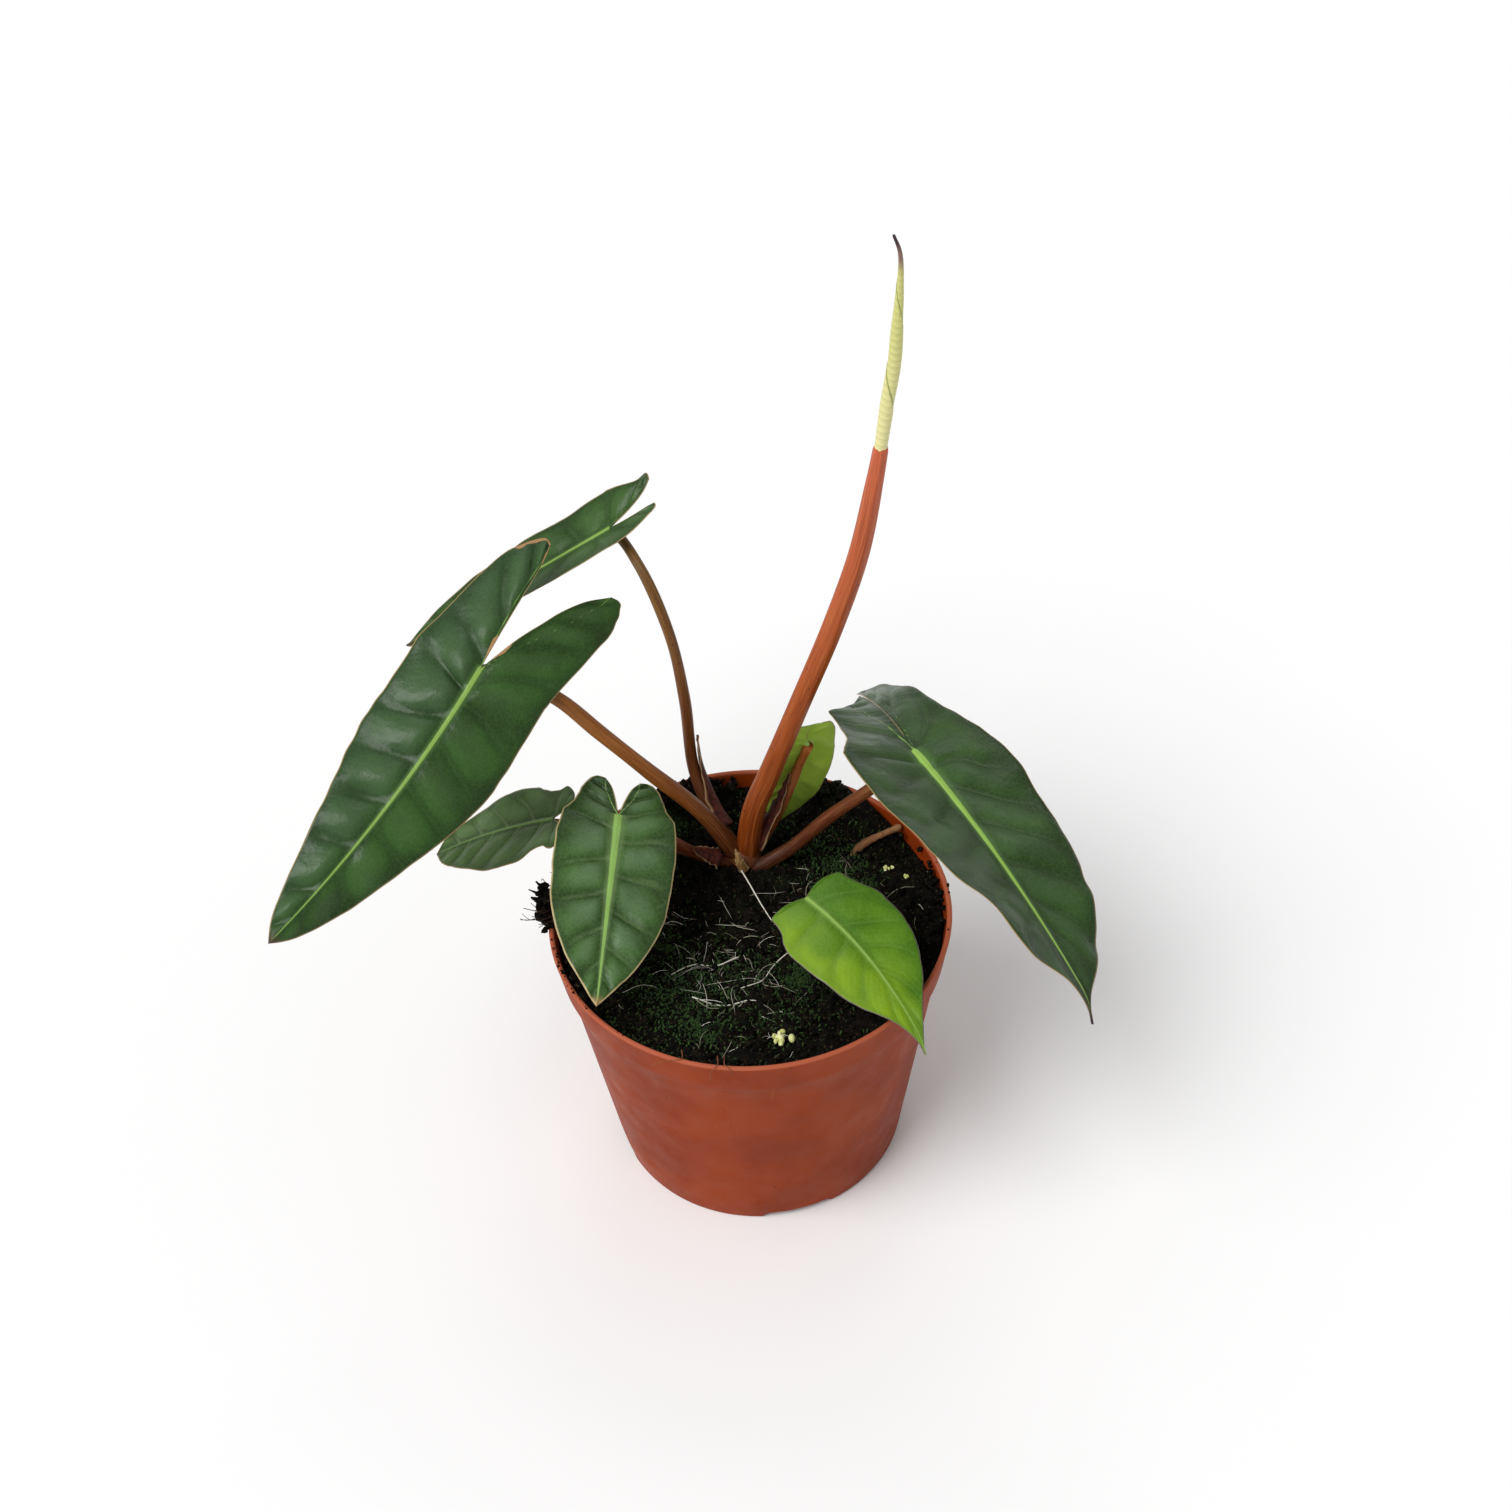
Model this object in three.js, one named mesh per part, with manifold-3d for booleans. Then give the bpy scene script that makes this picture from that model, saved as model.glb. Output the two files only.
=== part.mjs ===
// A young potted philodendron: a nursery pot, its peat, the short creeping stem with its roots,
// seven arrow- and heart-shaped leaves on arching petioles, and a new leaf still rolled up.
// Millimetres, +Z up, origin at the middle of the pot's underside, the plant's front towards -Y.
import * as THREE from "three";
import { mergeVertices } from "three/addons/utils/BufferGeometryUtils.js";
import Module from "manifold-3d";

// ---------- driving dimensions ----------
const POT_RADIUS = 60; // outside of the rim
const POT_BASE_RADIUS = 45; // outside of the foot
const POT_HEIGHT = 92;
const POT_WALL = 1.6;
const COLLAR_HEIGHT = 12.5; // the straight band under the rim
const COLLAR_STEP = 1.3; // how far the band stands out from the wall below it
const FOOT_HEIGHT = 2.4; // the drainage channel under the floor
const FOOT_WIDTH = 3.8;
const PAD_RADIUS = 20; // the flat middle of the underside
const NOTCHES = 4; // gaps in the foot that let water out
const NOTCH_WIDTH = 20;
const DRAIN_HOLES = 8;
const DRAIN_HOLE_RADIUS = 3.5;
const SOIL_DEPTH = 6.5; // from the rim down to the peat
const CROWN = { x: -1, y: 27 }; // where the stem stands in the pot
const STEM_RADIUS = 5;
const STEM_TOP = 5; // above the peat
const STEM_BOTTOM = -32; // below the peat
const PETIOLE_SIDES = 8;
const MIDRIB_THICKNESS = 1.6; // of a leaf blade
const MARGIN_THICKNESS = 0.7;
const GAP = 0.3; // between pieces that touch
const ROUND = 40; // flats round the pot and the peat in it
const SMALLEST = 0.02; // detail that a cut may lose

const SOIL_LEVEL = POT_HEIGHT - SOIL_DEPTH;
const FLOOR_TOP = FOOT_HEIGHT + POT_WALL;
const TURN = 2 * Math.PI;

const rad = THREE.MathUtils.degToRad;
const lerp = THREE.MathUtils.lerp;

const wasm = await Module();
wasm.setup();

// ---------- materials ----------
function finish(color, roughness) {
  return new THREE.MeshStandardMaterial({ color, roughness, metalness: 0 });
}
const FINISH = {
  plastic: () => finish(0xb1502c, 0.5),
  peat: () => finish(0x1c1a16, 0.95),
  leaf: () => finish(0x2f5a34, 0.45),
  youngLeaf: () => finish(0x6c9a35, 0.45),
  rolledLeaf: () => finish(0xc3c981, 0.5),
  petiole: () => finish(0x7d4a22, 0.45),
  newPetiole: () => finish(0xc8643a, 0.45),
  sheath: () => finish(0x7a3f26, 0.6),
  drySheath: () => finish(0xb08d63, 0.8),
  root: () => finish(0xcbb694, 0.8),
  moss: () => finish(0x33502a, 0.9),
  pellet: () => finish(0xb9bb6e, 0.7),
};

// ---------- closed surfaces ----------
// A closed solid from a list of triangles, each three points in order seen from outside.
function solidFrom(triangles) {
  const flat = [];
  for (const [a, b, c] of triangles) flat.push(...a.toArray(), ...b.toArray(), ...c.toArray());
  const soup = new THREE.BufferGeometry();
  soup.setAttribute("position", new THREE.Float32BufferAttribute(flat, 3));
  return manifoldOf(soup);
}

function manifoldOf(geometry) {
  const bare = geometry.clone();
  bare.deleteAttribute("normal");
  bare.deleteAttribute("uv");
  const merged = mergeVertices(bare, 1e-3);
  const corners = [];
  const index = merged.index.array;
  for (let i = 0; i < index.length; i += 3) {
    const [a, b, c] = [index[i], index[i + 1], index[i + 2]];
    if (a !== b && b !== c && c !== a) corners.push(a, b, c);
  }
  const solid = new wasm.Manifold(
    new wasm.Mesh({
      numProp: 3,
      vertProperties: new Float32Array(merged.attributes.position.array),
      triVerts: new Uint32Array(corners),
    }),
  );
  return solid;
}

function geometryOf(solid) {
  const { vertProperties, triVerts } = solid.getMesh();
  const geometry = new THREE.BufferGeometry();
  geometry.setAttribute("position", new THREE.Float32BufferAttribute(vertProperties, 3));
  geometry.setIndex(Array.from(triVerts));
  const split = geometry.toNonIndexed();
  split.computeVertexNormals();
  return split;
}

// Two triangles for each cell of a grid of points: rows run round, columns run along.
function gridTriangles(rows, closed) {
  const out = [];
  for (let i = 0; i + 1 < rows.length; i++) {
    const cells = rows[i].length - (closed ? 0 : 1);
    for (let j = 0; j < cells; j++) {
      const k = (j + 1) % rows[i].length;
      out.push([rows[i][j], rows[i][k], rows[i + 1][k]]);
      out.push([rows[i][j], rows[i + 1][k], rows[i + 1][j]]);
    }
  }
  return out;
}

// A closed skin of rings, counter-clockwise seen against their order, with a fan over each end.
function skin(rings) {
  const middle = (ring) =>
    ring.reduce((sum, p) => sum.add(p), new THREE.Vector3()).divideScalar(ring.length);
  const out = gridTriangles(rings, true);
  const first = rings[0];
  const last = rings[rings.length - 1];
  const start = middle(first);
  const end = middle(last);
  for (let j = 0; j < first.length; j++) {
    const k = (j + 1) % first.length;
    out.push([start, first[k], first[j]]);
    out.push([end, last[j], last[k]]);
  }
  return solidFrom(out);
}

// A round stem or root along a smooth route. radiusAt gives its radius from 0 to 1 along it,
// and grow makes it thicker and longer, which is how its socket in a neighbour is cut.
function tube({ route, radiusAt, sides = PETIOLE_SIDES, steps = 8 }, grow = 0) {
  const curve = new THREE.CatmullRomCurve3(route.map((p) => new THREE.Vector3(...p)), false, "centripetal");
  const frames = curve.computeFrenetFrames(steps, false);
  const rings = [];
  for (let i = 0; i <= steps; i++) {
    const centre = curve.getPointAt(i / steps);
    const end = i === 0 ? -grow : i === steps ? grow : 0;
    centre.addScaledVector(frames.tangents[i], end);
    const radius = radiusAt(i / steps) + grow;
    const ring = [];
    for (let j = 0; j < sides; j++) {
      const angle = (j / sides) * TURN;
      ring.push(
        centre
          .clone()
          .addScaledVector(frames.normals[i], radius * Math.cos(angle))
          .addScaledVector(frames.binormals[i], radius * Math.sin(angle)),
      );
    }
    rings.push(ring);
  }
  return skin(rings);
}

// A part of a tube's wall, such as a sheath that clasps a petiole: facing is the way its
// middle looks, and spreadAt gives half its angle from 0 to 1 along it.
function sheath({ route, radiusAt, spreadAt, facing, wall, steps = 5, cells = 6 }, grow = 0) {
  const curve = new THREE.CatmullRomCurve3(route.map((p) => new THREE.Vector3(...p)), false, "centripetal");
  const rings = [];
  for (let i = 0; i <= steps; i++) {
    const t = i / steps;
    const along = curve.getTangentAt(t);
    const end = i === 0 ? -grow : i === steps ? grow : 0;
    const centre = curve.getPointAt(t).addScaledVector(along, end);
    const front = new THREE.Vector3(...facing).projectOnPlane(along).normalize();
    const side = new THREE.Vector3().crossVectors(along, front);
    const spread = spreadAt(t) + grow / radiusAt(t);
    const ring = [];
    for (const [offset, way] of [[wall + grow, 1], [-grow, -1]]) {
      for (let j = 0; j <= cells; j++) {
        const angle = way * lerp(-spread, spread, j / cells);
        const radius = radiusAt(t) + offset;
        ring.push(
          centre
            .clone()
            .addScaledVector(front, radius * Math.cos(angle))
            .addScaledVector(side, radius * Math.sin(angle)),
        );
      }
    }
    rings.push(ring);
  }
  return skin(rings);
}

// An upright lump: an ellipsoid with its middle at a place.
function lump({ at, size, turn = 0 }, grow = 0) {
  const ball = new THREE.SphereGeometry(1, 7, 5);
  ball.scale(size[0] + grow, size[1] + grow, size[2] + grow);
  ball.rotateZ(turn);
  ball.translate(...at);
  return manifoldOf(ball);
}

// ---------- leaf blades ----------
// One side of a blade is drawn by ribs that leave the midrib, or the edge of the notch behind
// the leaf's joint, and run out to the margin. A rib's inner and outer ends are given along
// the leaf, as a share of its length ahead of the joint and of its lobe behind it, and the
// inner one also across, as a share of half the width.
const ARROW = {
  inner: [-1, -0.8, -0.42, 0, 0.13, 0.31, 0.51, 0.71, 0.88, 1],
  outer: [-1, -1, -0.74, -0.25, 0.12, 0.33, 0.56, 0.78, 0.93, 1],
  notch: [0.42, 0.27, 0.12, 0, 0, 0, 0, 0, 0, 0],
};
const HEART = {
  inner: [-1, -0.75, -0.35, 0, 0.15, 0.33, 0.52, 0.7, 0.87, 1],
  outer: [-1, -0.95, -0.45, 0.02, 0.2, 0.42, 0.62, 0.78, 0.91, 1],
  notch: [0.34, 0.22, 0.08, 0, 0, 0, 0, 0, 0, 0],
};
const LOBE_SHARE = 1 / 3; // of the ribs, from the end of the lobe to the joint
const MIDRIB_SOFTNESS = 3; // how round the fold along the midrib is

// Places are counted from the crown at the level of the peat. margin is how far out the ribs
// reach. Angles are in degrees: heading and pitch point the tip, droop, swerve and twist are
// what they gain by the tip, roll turns the blade about its midrib, lobeRise lifts the lobes,
// spread turns each lobe outwards, fold raises each half, and cup hollows the blade.
const LEAVES = {
  big_left: {
    joint: [-72, 2, 81.5], heading: 234, pitch: -27, droop: -3, swerve: -16, roll: 20, twist: 20,
    length: 97, lobe: 44, width: 40, lobeRise: 17, spread: [12, -5], fold: [-15, -1], cup: 0.12,
    shape: ARROW, margin: [0.42, 0.6, 0.85, 0.98, 1.04, 1.02, 0.78, 0.5, 0.24, 0], skew: 0,
  },
  rear: {
    joint: [-35, 48.5, 93], heading: 185, pitch: -30, droop: 1, swerve: -3, roll: 2, twist: 0,
    length: 75, lobe: 18, width: 24.5, lobeRise: -15, spread: [-3, 3], fold: [16, 16], cup: 0,
    shape: ARROW, margin: [0.42, 0.64, 0.72, 0.98, 1, 1, 0.84, 0.58, 0.26, 0], skew: 0,
  },
  front_left: {
    joint: [-36.5, -8, 30], heading: 265, pitch: -4, droop: 19, swerve: -3, roll: 11, twist: 6,
    length: 63, lobe: 13, width: 34.5, lobeRise: -3, spread: [-9, -10], fold: [-3, 2], cup: 0.03,
    shape: ARROW, margin: [0.42, 0.62, 0.77, 0.85, 1.03, 1.03, 0.95, 0.62, 0.22, 0], skew: -0.02,
  },
  low_left: {
    joint: [-56.5, -3.5, 25.5], heading: 172, pitch: -17, droop: 18, swerve: 0, roll: -3, twist: 9,
    length: 42, lobe: 5.5, width: 34, lobeRise: 4, spread: [10, 4], fold: [5, 0], cup: 0.04,
    shape: HEART, margin: [0.34, 0.6, 0.83, 0.76, 0.95, 0.92, 0.73, 0.54, 0.32, 0], skew: -0.03,
  },
  right: {
    joint: [51.5, -6.5, 48.5], heading: 293, pitch: 7, droop: 19, swerve: -2, roll: 8, twist: 30,
    length: 108, lobe: 62, width: 49.5, lobeRise: 36, spread: [1, -7], fold: [12, 14], cup: 0,
    shape: ARROW, margin: [0.42, 0.66, 0.67, 0.75, 0.99, 1, 0.94, 0.66, 0.12, 0], skew: 0.07,
  },
  small_rear: {
    joint: [20, 8.8, 40.6], heading: 147, pitch: -76, droop: -4, swerve: -6, roll: -32, twist: -12,
    length: 43.5, lobe: 8, width: 22, lobeRise: 8, spread: [1, -1], fold: [7, 0], cup: 0,
    shape: HEART, margin: [0.34, 0.61, 0.85, 0.94, 1.04, 1.07, 0.95, 0.66, 0.24, 0], skew: 0,
  },
  front_right: {
    joint: [17.5, -35, 19.5], heading: 310, pitch: 2, droop: 32, swerve: -14, roll: -1, twist: 6,
    length: 61, lobe: 1.5, width: 30, lobeRise: 0, spread: [0, -1], fold: [4, 0], cup: 0.02,
    shape: HEART, margin: [0.34, 0.6, 0.83, 0.91, 1.16, 1.09, 0.8, 0.36, 0.12, 0], skew: 0,
  },
};

// A smooth curve through evenly spaced values, from 0 to 1.
function smooth(values, t) {
  return new THREE.SplineCurve(values.map((v) => new THREE.Vector2(v, 0))).getPoint(t).x;
}

// The leaf's own directions at a distance s along its midrib, negative behind the joint.
function posture(leaf, s) {
  const ahead = Math.max(s, 0) / leaf.length;
  const behind = Math.max(-s, 0) / leaf.lobe;
  const heading = rad(leaf.heading + leaf.swerve * ahead);
  const pitch = rad(leaf.pitch - leaf.droop * ahead + leaf.lobeRise * behind);
  const roll = rad(leaf.roll + leaf.twist * ahead);
  const along = new THREE.Vector3(
    Math.cos(pitch) * Math.cos(heading),
    Math.cos(pitch) * Math.sin(heading),
    Math.sin(pitch),
  );
  const level = new THREE.Vector3(Math.sin(heading), -Math.cos(heading), 0);
  const upright = new THREE.Vector3().crossVectors(level, along);
  const across = level.clone().multiplyScalar(Math.cos(roll)).addScaledVector(upright, Math.sin(roll));
  const normal = upright.multiplyScalar(Math.cos(roll)).addScaledVector(level, -Math.sin(roll));
  return { along, across, normal };
}

// The midrib's place at s: the joint plus its direction summed in short steps.
function midrib(leaf, s) {
  const pieces = 16;
  const place = fromCrown(...leaf.joint);
  for (let i = 0; i < pieces; i++) {
    place.addScaledVector(posture(leaf, ((i + 0.5) / pieces) * s).along, s / pieces);
  }
  return place;
}

// A point of the blade, s along the midrib and y across it, and height off its middle surface.
function bladePoint(leaf, s, y, height) {
  const { across, normal } = posture(leaf, s);
  const side = y >= 0 ? 1 : 0;
  const rise = Math.tan(rad(leaf.fold[side])) * (Math.hypot(y, MIDRIB_SOFTNESS) - MIDRIB_SOFTNESS);
  const hollow = (leaf.cup / (leaf.width / 2)) * y * y;
  return midrib(leaf, s).addScaledVector(across, y).addScaledVector(normal, rise - hollow + height);
}

// Where rib t of one side starts and ends, as distances along and across the leaf.
function rib(leaf, t, side) {
  const { inner, outer, notch } = leaf.shape;
  const length = (share) => share * (share >= 0 ? leaf.length : leaf.lobe);
  const half = leaf.width / 2;
  const turn = Math.tan(rad(leaf.spread[side > 0 ? 1 : 0]));
  const place = (along, share) => {
    const s = length(smooth(along, t));
    const reach = smooth(share, t) * half * (1 + side * leaf.skew);
    return [s, side * (reach + Math.max(-s, 0) * turn)];
  };
  return { inner: place(inner, notch), outer: place(outer, leaf.margin) };
}

// A leaf blade: an upper and a lower skin over the same ribs, thick at the midrib and thin at
// the margin, closed round its edge. Behind the joint the two lobes stand apart.
function blade(leaf, grow = 0) {
  const LOBE_ROWS = 4;
  const BLADE_ROWS = 9;
  const COLUMNS = 3;
  const stations = [];
  for (let i = 0; i < LOBE_ROWS; i++) stations.push((i / LOBE_ROWS) * LOBE_SHARE);
  for (let i = 0; i <= BLADE_ROWS; i++) stations.push(lerp(LOBE_SHARE, 1, i / BLADE_ROWS));
  const triangles = [];
  const faces = (rows, flip) => {
    for (const [a, b, c] of gridTriangles(rows, false)) triangles.push(flip ? [a, c, b] : [a, b, c]);
  };
  for (const side of [1, -1]) {
    const top = [];
    const bottom = [];
    for (const t of stations) {
      const { inner, outer } = rib(leaf, t, side);
      const joined = t >= LOBE_SHARE - 1e-9;
      const from = joined ? [inner[0], 0] : inner;
      const topRow = [];
      const bottomRow = [];
      for (let j = 0; j <= COLUMNS; j++) {
        const v = j / COLUMNS;
        const s = lerp(from[0], outer[0], v);
        const y = lerp(from[1], outer[1], v);
        const pointed = t === 0 || t === 1;
        const fade = pointed ? 1 : Math.max(v, joined ? 0 : 0.5);
        const half = lerp(MIDRIB_THICKNESS, MARGIN_THICKNESS, Math.sqrt(fade)) / 2 + grow;
        topRow.push(bladePoint(leaf, s, y, half));
        bottomRow.push(bladePoint(leaf, s, y, -half));
      }
      top.push(topRow);
      bottom.push(bottomRow);
    }
    const flip = side > 0;
    faces(top, !flip);
    faces(bottom, flip);
    const edge = (column, rows, turned) => {
      const wall = rows.map((i) => [top[i][column], bottom[i][column]]);
      faces(wall, turned);
    };
    const all = stations.map((_, i) => i);
    edge(COLUMNS, all, !flip);
    edge(0, all.slice(0, LOBE_ROWS + 1), flip);
  }
  return solidFrom(triangles);
}

function fromCrown(x, y, z) {
  return new THREE.Vector3(CROWN.x + x, CROWN.y + y, SOIL_LEVEL + z);
}

function routeFromCrown(points) {
  return points.map((p) => fromCrown(...p).toArray());
}

// ---------- petioles ----------
// Routes are counted from the crown, as the leaves are, and end just under the leaf's joint.
const UNDER_JOINT = 1.2;
const PETIOLES = {
  big_left: {
    route: [
      [-1.5, 0, 1], [-12.6, 0.3, 21.7], [-26.5, 0.9, 38.5], [-40, 2.3, 54.2], [-52, 4.4, 67.2],
      [-63, 5, 73.5],
    ],
    thickness: 4.6, flare: 1.25,
  },
  rear: {
    route: [[-2, 4, 0], [-9.3, 12.8, 8.4], [-14, 19.5, 20], [-15.4, 21.1, 48.7], [-18.5, 25, 71], [-26, 36, 88]],
    thickness: 3.4, flare: 1.3,
  },
  front_left: {
    route: [[-2, -1, -1], [-13.4, -3, 6], [-21.2, -4.7, 14.5], [-29, -6.5, 23]],
    thickness: 3.4, flare: 1.2,
  },
  low_left: {
    route: [[-3, 1, -2], [-18, 1, 4], [-38, -1.5, 14]],
    thickness: 2.8, flare: 1.2,
  },
  right: {
    route: [[2, -4, -1], [14, -3.5, 7.5], [26, -4, 20.8], [37, -5, 31.5]],
    thickness: 4, flare: 1.2,
  },
  small_rear: {
    route: [[2, 1, -1], [6.8, 2.3, 8], [13.1, 5, 19.8], [18.2, 8, 32.4]],
    thickness: 3, flare: 1.3,
  },
  front_right: {
    route: [[27, -39, -9], [26, -38, 1], [22.5, -36.5, 11]],
    thickness: 2.6, flare: 1.15,
  },
};
const STUB_ANGLE = rad(34); // where the old stub meets the wall
const NEW_PETIOLE = {
  route: [
    [0.5, 0, -1], [2.8, 0.9, 20.5], [8.3, 2.5, 33.5], [18.8, 5.7, 59.5],
    [28.7, 8.7, 85], [36.5, 11, 109.5], [41.2, 12.4, 134], [43.1, 13.2, 145.5],
  ],
  radii: [4.2, 4.1, 3.3, 3.1, 3.1, 3.0, 2.7, 2.1],
};
const ROLLED_LEAF = {
  route: [
    [43.1, 13.2, 146.2], [44.5, 13.5, 157.5], [46.2, 13.5, 169.5], [47, 13, 182.5],
    [47.6, 12, 194.5], [47.4, 10, 206.5], [45.7, 9, 212.5],
  ],
  radii: [2.1, 2.1, 2, 1.9, 1.3, 0.8, 0.4],
};

function petiole(name, grow = 0) {
  const { route, thickness, flare } = PETIOLES[name];
  const [x, y, z] = LEAVES[name].joint;
  const ends = [...route, [x, y, z - UNDER_JOINT]];
  const radiusAt = (t) => (thickness / 2) * lerp(flare, 0.9, Math.sqrt(t));
  return tube({ route: routeFromCrown(ends), radiusAt }, grow);
}

function tapered({ route, radii }, sides, steps, grow) {
  return tube({ route: routeFromCrown(route), radiusAt: (t) => smooth(radii, t), sides, steps }, grow);
}

// ---------- the pot ----------
const potOutside = (z) => lerp(POT_BASE_RADIUS, POT_RADIUS - COLLAR_STEP, z / POT_HEIGHT);
const collarBottom = POT_HEIGHT - COLLAR_HEIGHT;
const outside = (z) => potOutside(z) + (z > collarBottom ? COLLAR_STEP : 0);
const inside = (z) => outside(z) - POT_WALL;
const STEP_RISE = 1; // height of the slope between wall and band
const PAD_SLOPE = 1.5; // how far the floor leans where it rises round the pad
const RISER = 1.2; // its wall there, measured level

function lathe(profile, segments) {
  const points = profile.map(([r, z]) => new THREE.Vector2(r, z));
  const turned = new THREE.LatheGeometry(points, segments);
  turned.rotateX(Math.PI / 2);
  return manifoldOf(turned);
}

function pot() {
  const lip = POT_WALL / 2;
  const profile = [
    [0, 0],
    [PAD_RADIUS, 0],
    [PAD_RADIUS + PAD_SLOPE, FOOT_HEIGHT],
    [POT_BASE_RADIUS - FOOT_WIDTH, FOOT_HEIGHT],
    [POT_BASE_RADIUS - FOOT_WIDTH, 0],
    [POT_BASE_RADIUS - 0.4, 0],
    [outside(1), 1],
    [outside(collarBottom - STEP_RISE), collarBottom - STEP_RISE],
    [outside(collarBottom + 0.01), collarBottom],
    [outside(POT_HEIGHT - lip), POT_HEIGHT - lip],
    [outside(POT_HEIGHT) - 0.4, POT_HEIGHT],
    [inside(POT_HEIGHT) + 0.4, POT_HEIGHT],
    [inside(POT_HEIGHT - lip), POT_HEIGHT - lip],
    [inside(collarBottom + 0.01), collarBottom],
    [inside(collarBottom - STEP_RISE), collarBottom - STEP_RISE],
    [inside(FLOOR_TOP + 1), FLOOR_TOP + 1],
    [inside(FLOOR_TOP) - 1, FLOOR_TOP],
    [PAD_RADIUS + PAD_SLOPE - RISER, FLOOR_TOP],
    [PAD_RADIUS - RISER, POT_WALL],
    [0, POT_WALL],
  ];
  let solid = lathe(profile, ROUND);
  for (let i = 0; i < NOTCHES; i++) {
    const turn = rad(-77) + (i / NOTCHES) * TURN;
    const box = new THREE.BoxGeometry(FOOT_WIDTH * 3, NOTCH_WIDTH, FOOT_HEIGHT * 2);
    box.translate(POT_BASE_RADIUS - FOOT_WIDTH / 2, 0, -0.1);
    box.rotateZ(turn);
    solid = solid.subtract(manifoldOf(box));
  }
  for (let i = 0; i < DRAIN_HOLES; i++) {
    const turn = ((i + 0.5) / DRAIN_HOLES) * TURN;
    const middle = (PAD_RADIUS + PAD_SLOPE + POT_BASE_RADIUS - FOOT_WIDTH) / 2;
    const drill = new THREE.CylinderGeometry(DRAIN_HOLE_RADIUS, DRAIN_HOLE_RADIUS, POT_WALL * 3, 12);
    drill.rotateX(Math.PI / 2);
    drill.translate(middle * Math.cos(turn), middle * Math.sin(turn), FOOT_HEIGHT + POT_WALL / 2);
    solid = solid.subtract(manifoldOf(drill));
  }
  return solid;
}

// ---------- the peat ----------
// Low waves, with a heap round the crown and against the rim behind it.
const HEAPS = [
  { at: [0, 0], radius: 15, height: 1 },
  { at: [34, 19], radius: 13, height: 6 },
  { at: [-27, 27], radius: 12, height: 5 },
];

function peatHeight(x, y) {
  const wave = Math.sin(x / 9 + 1) * Math.cos(y / 11) + 0.6 * Math.sin(x / 4.1 + 2) * Math.sin(y / 5.3);
  let height = SOIL_LEVEL + 0.8 * wave;
  for (const { at, radius, height: rise } of HEAPS) {
    const far = Math.hypot(x - CROWN.x - at[0], y - CROWN.y - at[1]) / radius;
    height += rise * Math.exp(-far * far);
  }
  return height;
}

function peat() {
  const RINGS = 5;
  const fit = (z) => inside(z) - GAP;
  const around = (radiusOf, heightOf) => {
    const ring = [];
    for (let j = 0; j < ROUND; j++) {
      const angle = (j / ROUND) * TURN;
      const r = radiusOf(angle);
      const [x, y] = [r * Math.cos(angle), r * Math.sin(angle)];
      ring.push(new THREE.Vector3(x, y, heightOf(x, y)));
    }
    return ring;
  };
  const level = (r, z) => around(() => r, () => z);
  const edge = (angle) => {
    const r = fit(SOIL_LEVEL);
    const rim = Math.min(peatHeight(r * Math.cos(angle), r * Math.sin(angle)), POT_HEIGHT);
    return Math.min(fit(rim), fit(POT_HEIGHT) - 0.4);
  };
  const rings = [
    level(PAD_RADIUS - RISER - GAP, POT_WALL + GAP),
    level(PAD_RADIUS + PAD_SLOPE - RISER - GAP, FLOOR_TOP + GAP),
    level(fit(FLOOR_TOP) - 1, FLOOR_TOP + GAP),
    level(fit(FLOOR_TOP + 1), FLOOR_TOP + 1 + GAP),
    level(fit(collarBottom - STEP_RISE), collarBottom - STEP_RISE),
    level(fit(collarBottom + 0.01), collarBottom + GAP),
  ];
  for (let i = RINGS; i >= 1; i--) rings.push(around((angle) => (edge(angle) * i) / RINGS, peatHeight));
  return skin(rings);
}

// ---------- small pieces on and in the peat ----------
const onPeat = (x, y, lift = 0) => [x, y, peatHeight(x, y) + lift];

// A root in the peat: from the stem out to the pot's wall, then round and down along it.
// The wall is met at an angle, followed for curl degrees, and depth is a share of the peat's.
function rootRoute(angle, curl, depth) {
  const start = fromCrown(0, 0, ROOT_START);
  const route = [];
  for (let i = 0; i <= 5; i++) {
    const t = i / 5;
    const z = lerp(start.z, FLOOR_TOP + ROOT_CLEARANCE, depth * t ** 1.3);
    const turn = rad(angle + curl * t);
    const far = inside(z) - ROOT_CLEARANCE;
    const wall = new THREE.Vector3(far * Math.cos(turn), far * Math.sin(turn), z);
    route.push(start.clone().setZ(z).lerp(wall, Math.sin((t * Math.PI) / 2)).toArray());
  }
  return route;
}
const ROOT_START = -9; // below the peat
const ROOT_CLEARANCE = 5; // kept from the wall and the floor
const ROOTS = [
  [200, 40, 0.6], [235, -30, 0.9], [262, 45, 0.75],
  [300, 50, 0.95], [350, -45, 0.6], [110, 50, 0.85],
];
const SURFACE_ROOTS = [
  [[-4, -13], [-10, -16], [-17, -15], [-24, -19]],
  [[12, -12], [6, -17], [2, -23], [-6, -26]],
  [[-18, -28], [-9, -31], [0, -30], [8, -34]],
  [[30, 2], [36, -2], [40, -9], [45, -12]],
];
const MOSS = [
  [-27, -6, 6], [-14, -40, 7], [14, -22, 6], [33, 14, 6], [-22, 42, 6],
];
const PELLETS = [
  [7, -44, 2.2], [42.5, 19.5, 1.4], [47.5, 15.5, 1.3],
];

// ---------- assembly ----------
const group = new THREE.Group();
const placed = [];

function touching(a, b) {
  return [0, 1, 2].every((k) => a.min[k] <= b.max[k] && b.min[k] <= a.max[k]);
}

// The largest single body, without the crumbs and slivers that a cut can leave.
function largest(solid) {
  const bodies = solid.decompose();
  const most = bodies.reduce((best, body) => (body.volume() > best.volume() ? body : best));
  return most.simplify(SMALLEST);
}

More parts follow.
